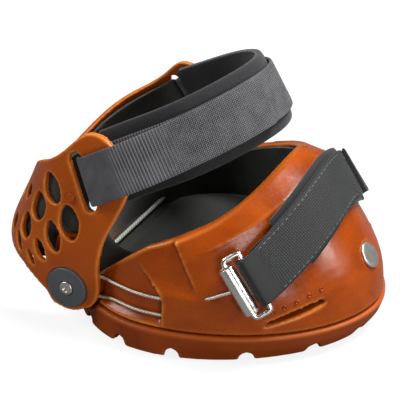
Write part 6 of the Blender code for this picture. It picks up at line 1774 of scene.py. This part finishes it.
@dataclass
class ToeStrap:
    """The toe's strap: pad, inner layer with a sewn loop on the left, and swinging flap on the right."""

    form: HoofForm
    buckles: Buckles
    web: Webbing = Webbing()
    fold_radius: float = 1.9 * MM
    path_power: float = 1.8
    merge_share: float = 0.74
    pad_share: float = 0.7
    loop_share: float = 0.42
    flap_share: float = 0.17
    end_share: float = 0.955
    pad_thickness: float = 2.6 * MM
    pad_width: float = 31.0 * MM
    crown_rise: float = 4.5 * MM
    tail_turn: float = math.radians(200)
    foot_rounds: int = 12
    points: int = 100
    pad_points: int = 90
    strap_points: int = 120
    loop_points: int = 40
    fold_points: int = 24
    strap_plain: float = 6.0 * MM
    flap_plain: float = 16.0 * MM
    flap_seam: tuple = (30, -3)
    flap_inset: float = 1.6 * MM

    def foot(self) -> tuple[float, float, float, np.ndarray]:
        """Angle and height of the wall under the left strap bar, and the bar's own height and direction."""
        place, long_axis, across = self.buckles.axes()
        bar = place + across * self.buckles.reach
        foot = bar
        for _ in range(self.foot_rounds):
            level = float(foot[2])
            angle, spot, normal = self.form.wall_spot(foot[0], level)
            lift = float((bar - spot).dot(normal))
            foot = bar - normal * lift
        return float(angle[0]), level, lift, long_axis

    def line(self, shares: np.ndarray) -> tuple[np.ndarray, np.ndarray, np.ndarray, float]:
        """The strap's line on the wall from -1 at the right bar to 1 at the left, with its frame."""
        end_angle, foot_height, lift, long_axis = self.foot()
        crease = float(self.form.crease_height(np.array([0.0]))[0])
        crown = crease + self.crown_rise - self.pad_width / 2.0 * math.sin(self.form.toe_angle)
        height = between(foot_height, crown, 1.0 - np.abs(shares) ** self.path_power)
        spot = self.form.plan_point(end_angle * shares, height)
        normal = self.form.outward_normal(end_angle * shares, height)
        width = unit(np.cross(normal, np.gradient(spot, axis=0)))
        bars = np.where(shares[:, None] < 0.0, mirrored(long_axis, Side.RIGHT), long_axis)
        bars = bars * np.sign((bars * width).sum(axis=1))[:, None]
        blend = smoothstep(np.abs(shares), self.merge_share, 1.0)[:, None]
        return spot, normal, unit(width * (1.0 - blend) + bars * blend), lift

    def merged(self, shares, at_bar: float, beyond: float) -> np.ndarray:
        """Height above the wall that changes to its value beside the bar, as a column."""
        return between(beyond, at_bar, smoothstep(np.abs(shares), self.merge_share, 1.0))[:, None]

    def fold(self, side: Side, start: float, stop: float, count: int) -> np.ndarray:
        """Points of a fold round a strap bar, by angle from straight outward."""
        spot, normal, across, lift = self.line(np.array([1.0, 0.98]) * side.value)
        away = np.cross(across[0], normal[0])
        away = away * np.sign(away.dot(spot[0] - spot[1]))
        turns = np.linspace(start, stop, count)[:, None]
        radius = self.fold_radius + self.web.thickness / 2.0
        return spot[0] + normal[0] * lift + radius * (np.cos(turns) * normal[0] + np.sin(turns) * away)

    def band(self, middle: np.ndarray, across: np.ndarray, plain: float) -> tuple[Mesh, tuple]:
        """A webbing band along given points and widths, plain over a first stretch, and its frame."""
        across = across * np.sign((across * across[0]).sum(axis=1))[:, None]
        out = unit(np.cross(across, np.gradient(middle, axis=0)))
        mesh = swept_mesh(middle, across, out, self.web.profile(), BAND_END)
        self.web.mark_plain(mesh, middle, plain)
        return mesh, (middle, across, out)

    def build(self, finishes: Finishes) -> None:
        """Makes the pad, the strap and the flap with their seams."""
        web = self.web
        pad_middle = self.form.collar_step + GAP + self.pad_thickness / 2.0
        strap_middle = pad_middle + (self.pad_thickness + web.thickness) / 2.0 + GAP
        top_middle = strap_middle + web.thickness + web.stitch_gap
        fold = self.fold_radius + web.thickness / 2.0

        spot, normal, across, lift = self.line(np.linspace(-self.pad_share, self.pad_share, self.pad_points))
        across = across * np.sign((across * across[0]).sum(axis=1))[:, None]
        middle = spot + normal * pad_middle
        out = unit(np.cross(across, np.gradient(middle, axis=0)))
        profile = band_profile(self.pad_width, self.pad_thickness, PAD_SQUARENESS)
        pad = swept_mesh(middle, across, out, profile, BAND_END)
        piece = place_piece("toe_neoprene", pad, finishes.neoprene, "boot", "toe_strap_pad")

        shares = np.linspace(self.loop_share, 1.0, self.loop_points)
        spot, normal, leaf_across, _ = self.line(shares)
        leaf = spot + normal * self.merged(shares, lift + fold, top_middle)
        arc = self.fold(Side.LEFT, 0.0, math.pi, self.fold_points)[1:-1]
        shares = np.linspace(1.0, -self.end_share, self.strap_points)
        spot, normal, across, _ = self.line(shares)
        inner = spot + normal * self.merged(shares, lift - fold, strap_middle)
        sign = np.sign((across[0] * leaf_across[-1]).sum())
        widths = np.vstack([leaf_across * sign, np.repeat(across[:1], len(arc), axis=0), across])
        mesh, _ = self.band(np.vstack([leaf, arc, inner]), widths, self.strap_plain)
        place_piece("toe_webbing", mesh, finishes.web, "boot", "toe_strap")

        shares = np.linspace(-1.0, self.flap_share, self.points)
        spot, normal, across, _ = self.line(shares)
        tail = self.fold(Side.RIGHT, self.tail_turn, 0.0, self.fold_points)[:-1]
        middle = np.vstack([tail, spot + normal * self.merged(shares, lift + fold, top_middle)])
        widths = np.vstack([np.repeat(across[:1], len(tail), axis=0), across])
        mesh, body = self.band(middle, widths, self.flap_plain)
        place_piece("toe_flap_webbing", mesh, finishes.web, "toe_flap", "toe_flap")
        wall = np.vstack([normal[:1].repeat(len(tail), 0), normal])
        line, across, out, wall = (part[slice(*self.flap_seam)] for part in (*body, wall))
        out = out * np.sign((out * wall).sum(axis=1))[:, None]
        seam = web.thread.seams(line, across, out, web, self.flap_inset)
        place_piece("toe_stitches", seam, finishes.thread, "toe_flap", sharp=FINE)


# Studio

@dataclass(frozen=True)
class Studio:
    """Plain pale floor, soft lights and the camera of the photograph."""

    azimuth: float = math.radians(26)
    elevation: float = math.radians(28.5)
    view_angle: float = math.radians(17.3)
    distance: float = 0.7
    target: tuple = (-0.0143, -0.001, 0.0497)
    # Name, place (m), size (m) and power (W) of each lamp
    lamps: tuple = (
        ("top", (0.4, 0.35, 1.2), 0.5, 24.0), ("front", (0.8, -0.8, 0.3), 0.4, 4.5),
        ("toe", (1.05, 0.1, 0.5), 0.22, 4.0), ("side", (-0.9, -0.4, 0.9), 0.5, 7.5),
    )
    floor_half: float = 3.0
    floor_drop: float = 0.2 * MM
    floor_white: float = 0.82
    world_level: float = 0.22
    world_glossy: float = 0.12

    def aimed(self, name: str, data, place: Vector) -> bpy.types.Object:
        """A camera or a lamp at a place, turned to the boot."""
        thing = in_scene(name, data)
        thing.location = place
        thing.rotation_euler = (Vector(self.target) - place).to_track_quat("-Z", "Y").to_euler()
        return thing

    def camera(self) -> None:
        """Sets the camera at the photograph's angle."""
        data = bpy.data.cameras.new("camera")
        data.sensor_width = data.sensor_height = 36.0
        data.angle = self.view_angle
        data.clip_start = 0.01
        level = math.cos(self.elevation)
        way = Vector((math.sin(self.azimuth) * level, -math.cos(self.azimuth) * level,
                      math.sin(self.elevation)))
        bpy.context.scene.camera = self.aimed("camera", data, Vector(self.target) + way * self.distance)

    def lamp(self, name: str, place: tuple, size: float, power: float) -> None:
        """A soft square lamp aimed at the boot."""
        data = bpy.data.lights.new(name, "AREA")
        data.size = size
        data.energy = power
        self.aimed(name, data, Vector(place))

    def floor(self) -> None:
        """A floor that is white to the camera, with a soft shadow, and grey to the boot."""
        material = bpy.data.materials.new("white_floor")
        tree = emptied(material)
        seen = add(tree, "LightPath").outputs["Is Camera Ray"]
        share = add(tree, "Math", {0: seen}, {1: self.floor_white}, operation="MULTIPLY")
        tone = add(tree, "Mix", {0: seen}, {6: linear("#6A6A6A"), 7: linear("#F2F2F2")}, data_type="RGBA")
        matt = add(tree, "BsdfDiffuse", {"Color": tone.outputs[2]})
        white = add(tree, "Emission", values={"Color": (1.0, 1.0, 1.0, 1.0), "Strength": 1.03})
        mixed = add(tree, "MixShader", {0: share, 1: matt, 2: white})
        add(tree, "OutputMaterial", {"Surface": mixed})
        corners = np.array([(-1.0, -1.0, 0.0), (1.0, -1.0, 0.0), (1.0, 1.0, 0.0), (-1.0, 1.0, 0.0)])
        mesh = made(corners * self.floor_half - UP * self.floor_drop, [(0, 1, 2, 3)])
        mesh.materials.append(material)
        in_scene("floor", mesh)

    def world(self) -> None:
        """A dim even world, white where the camera sees it."""
        world = bpy.data.worlds.new("studio")
        tree = emptied(world)
        path = add(tree, "LightPath")
        change = self.world_glossy - self.world_level
        level = add(tree, "Math", {0: path.outputs["Is Glossy Ray"]}, {1: change}, operation="MULTIPLY")
        dim = add(tree, "Math", {0: level}, {1: self.world_level}, operation="ADD")
        soft = add(tree, "Background", {"Strength": dim}, {"Color": (1.0, 0.99, 0.97, 1.0)})
        white = add(tree, "Background", values={"Color": (1.0, 1.0, 1.0, 1.0), "Strength": 1.0})
        mixed = add(tree, "MixShader", {0: path.outputs["Is Camera Ray"], 1: soft, 2: white})
        add(tree, "OutputWorld", {"Surface": mixed})
        bpy.context.scene.world = world

    def build(self) -> None:
        """Sets up the whole studio."""
        self.camera()
        self.floor()
        self.world()
        for lamp in self.lamps:
            self.lamp(*lamp)
        bpy.context.scene.view_settings.view_transform = "Standard"


def main() -> None:
    """Builds the boot's look piece by piece."""
    logging.basicConfig(level=logging.INFO)
    Studio().build()
    finishes = Finishes()
    form, hub = HoofForm(), HubForm()
    cup_form = CupForm(hub)
    buckles = Buckles(form)
    cables = Cables(form, hub, buckles)
    shell = HoofShell(form, hub)
    straps = PasternStrap(cup_form)
    TreadSole(form, hub).build(finishes)
    shell.build(finishes, cables)
    Linings(form, shell).build(finishes)
    cables.build(finishes)
    buckles.build(finishes)
    HeelCup(cup_form, straps).build(finishes)
    Hubs(hub).build(finishes)
    straps.build(finishes)
    ToeStrap(form, buckles).build(finishes)


if __name__ == "__main__":
    main()
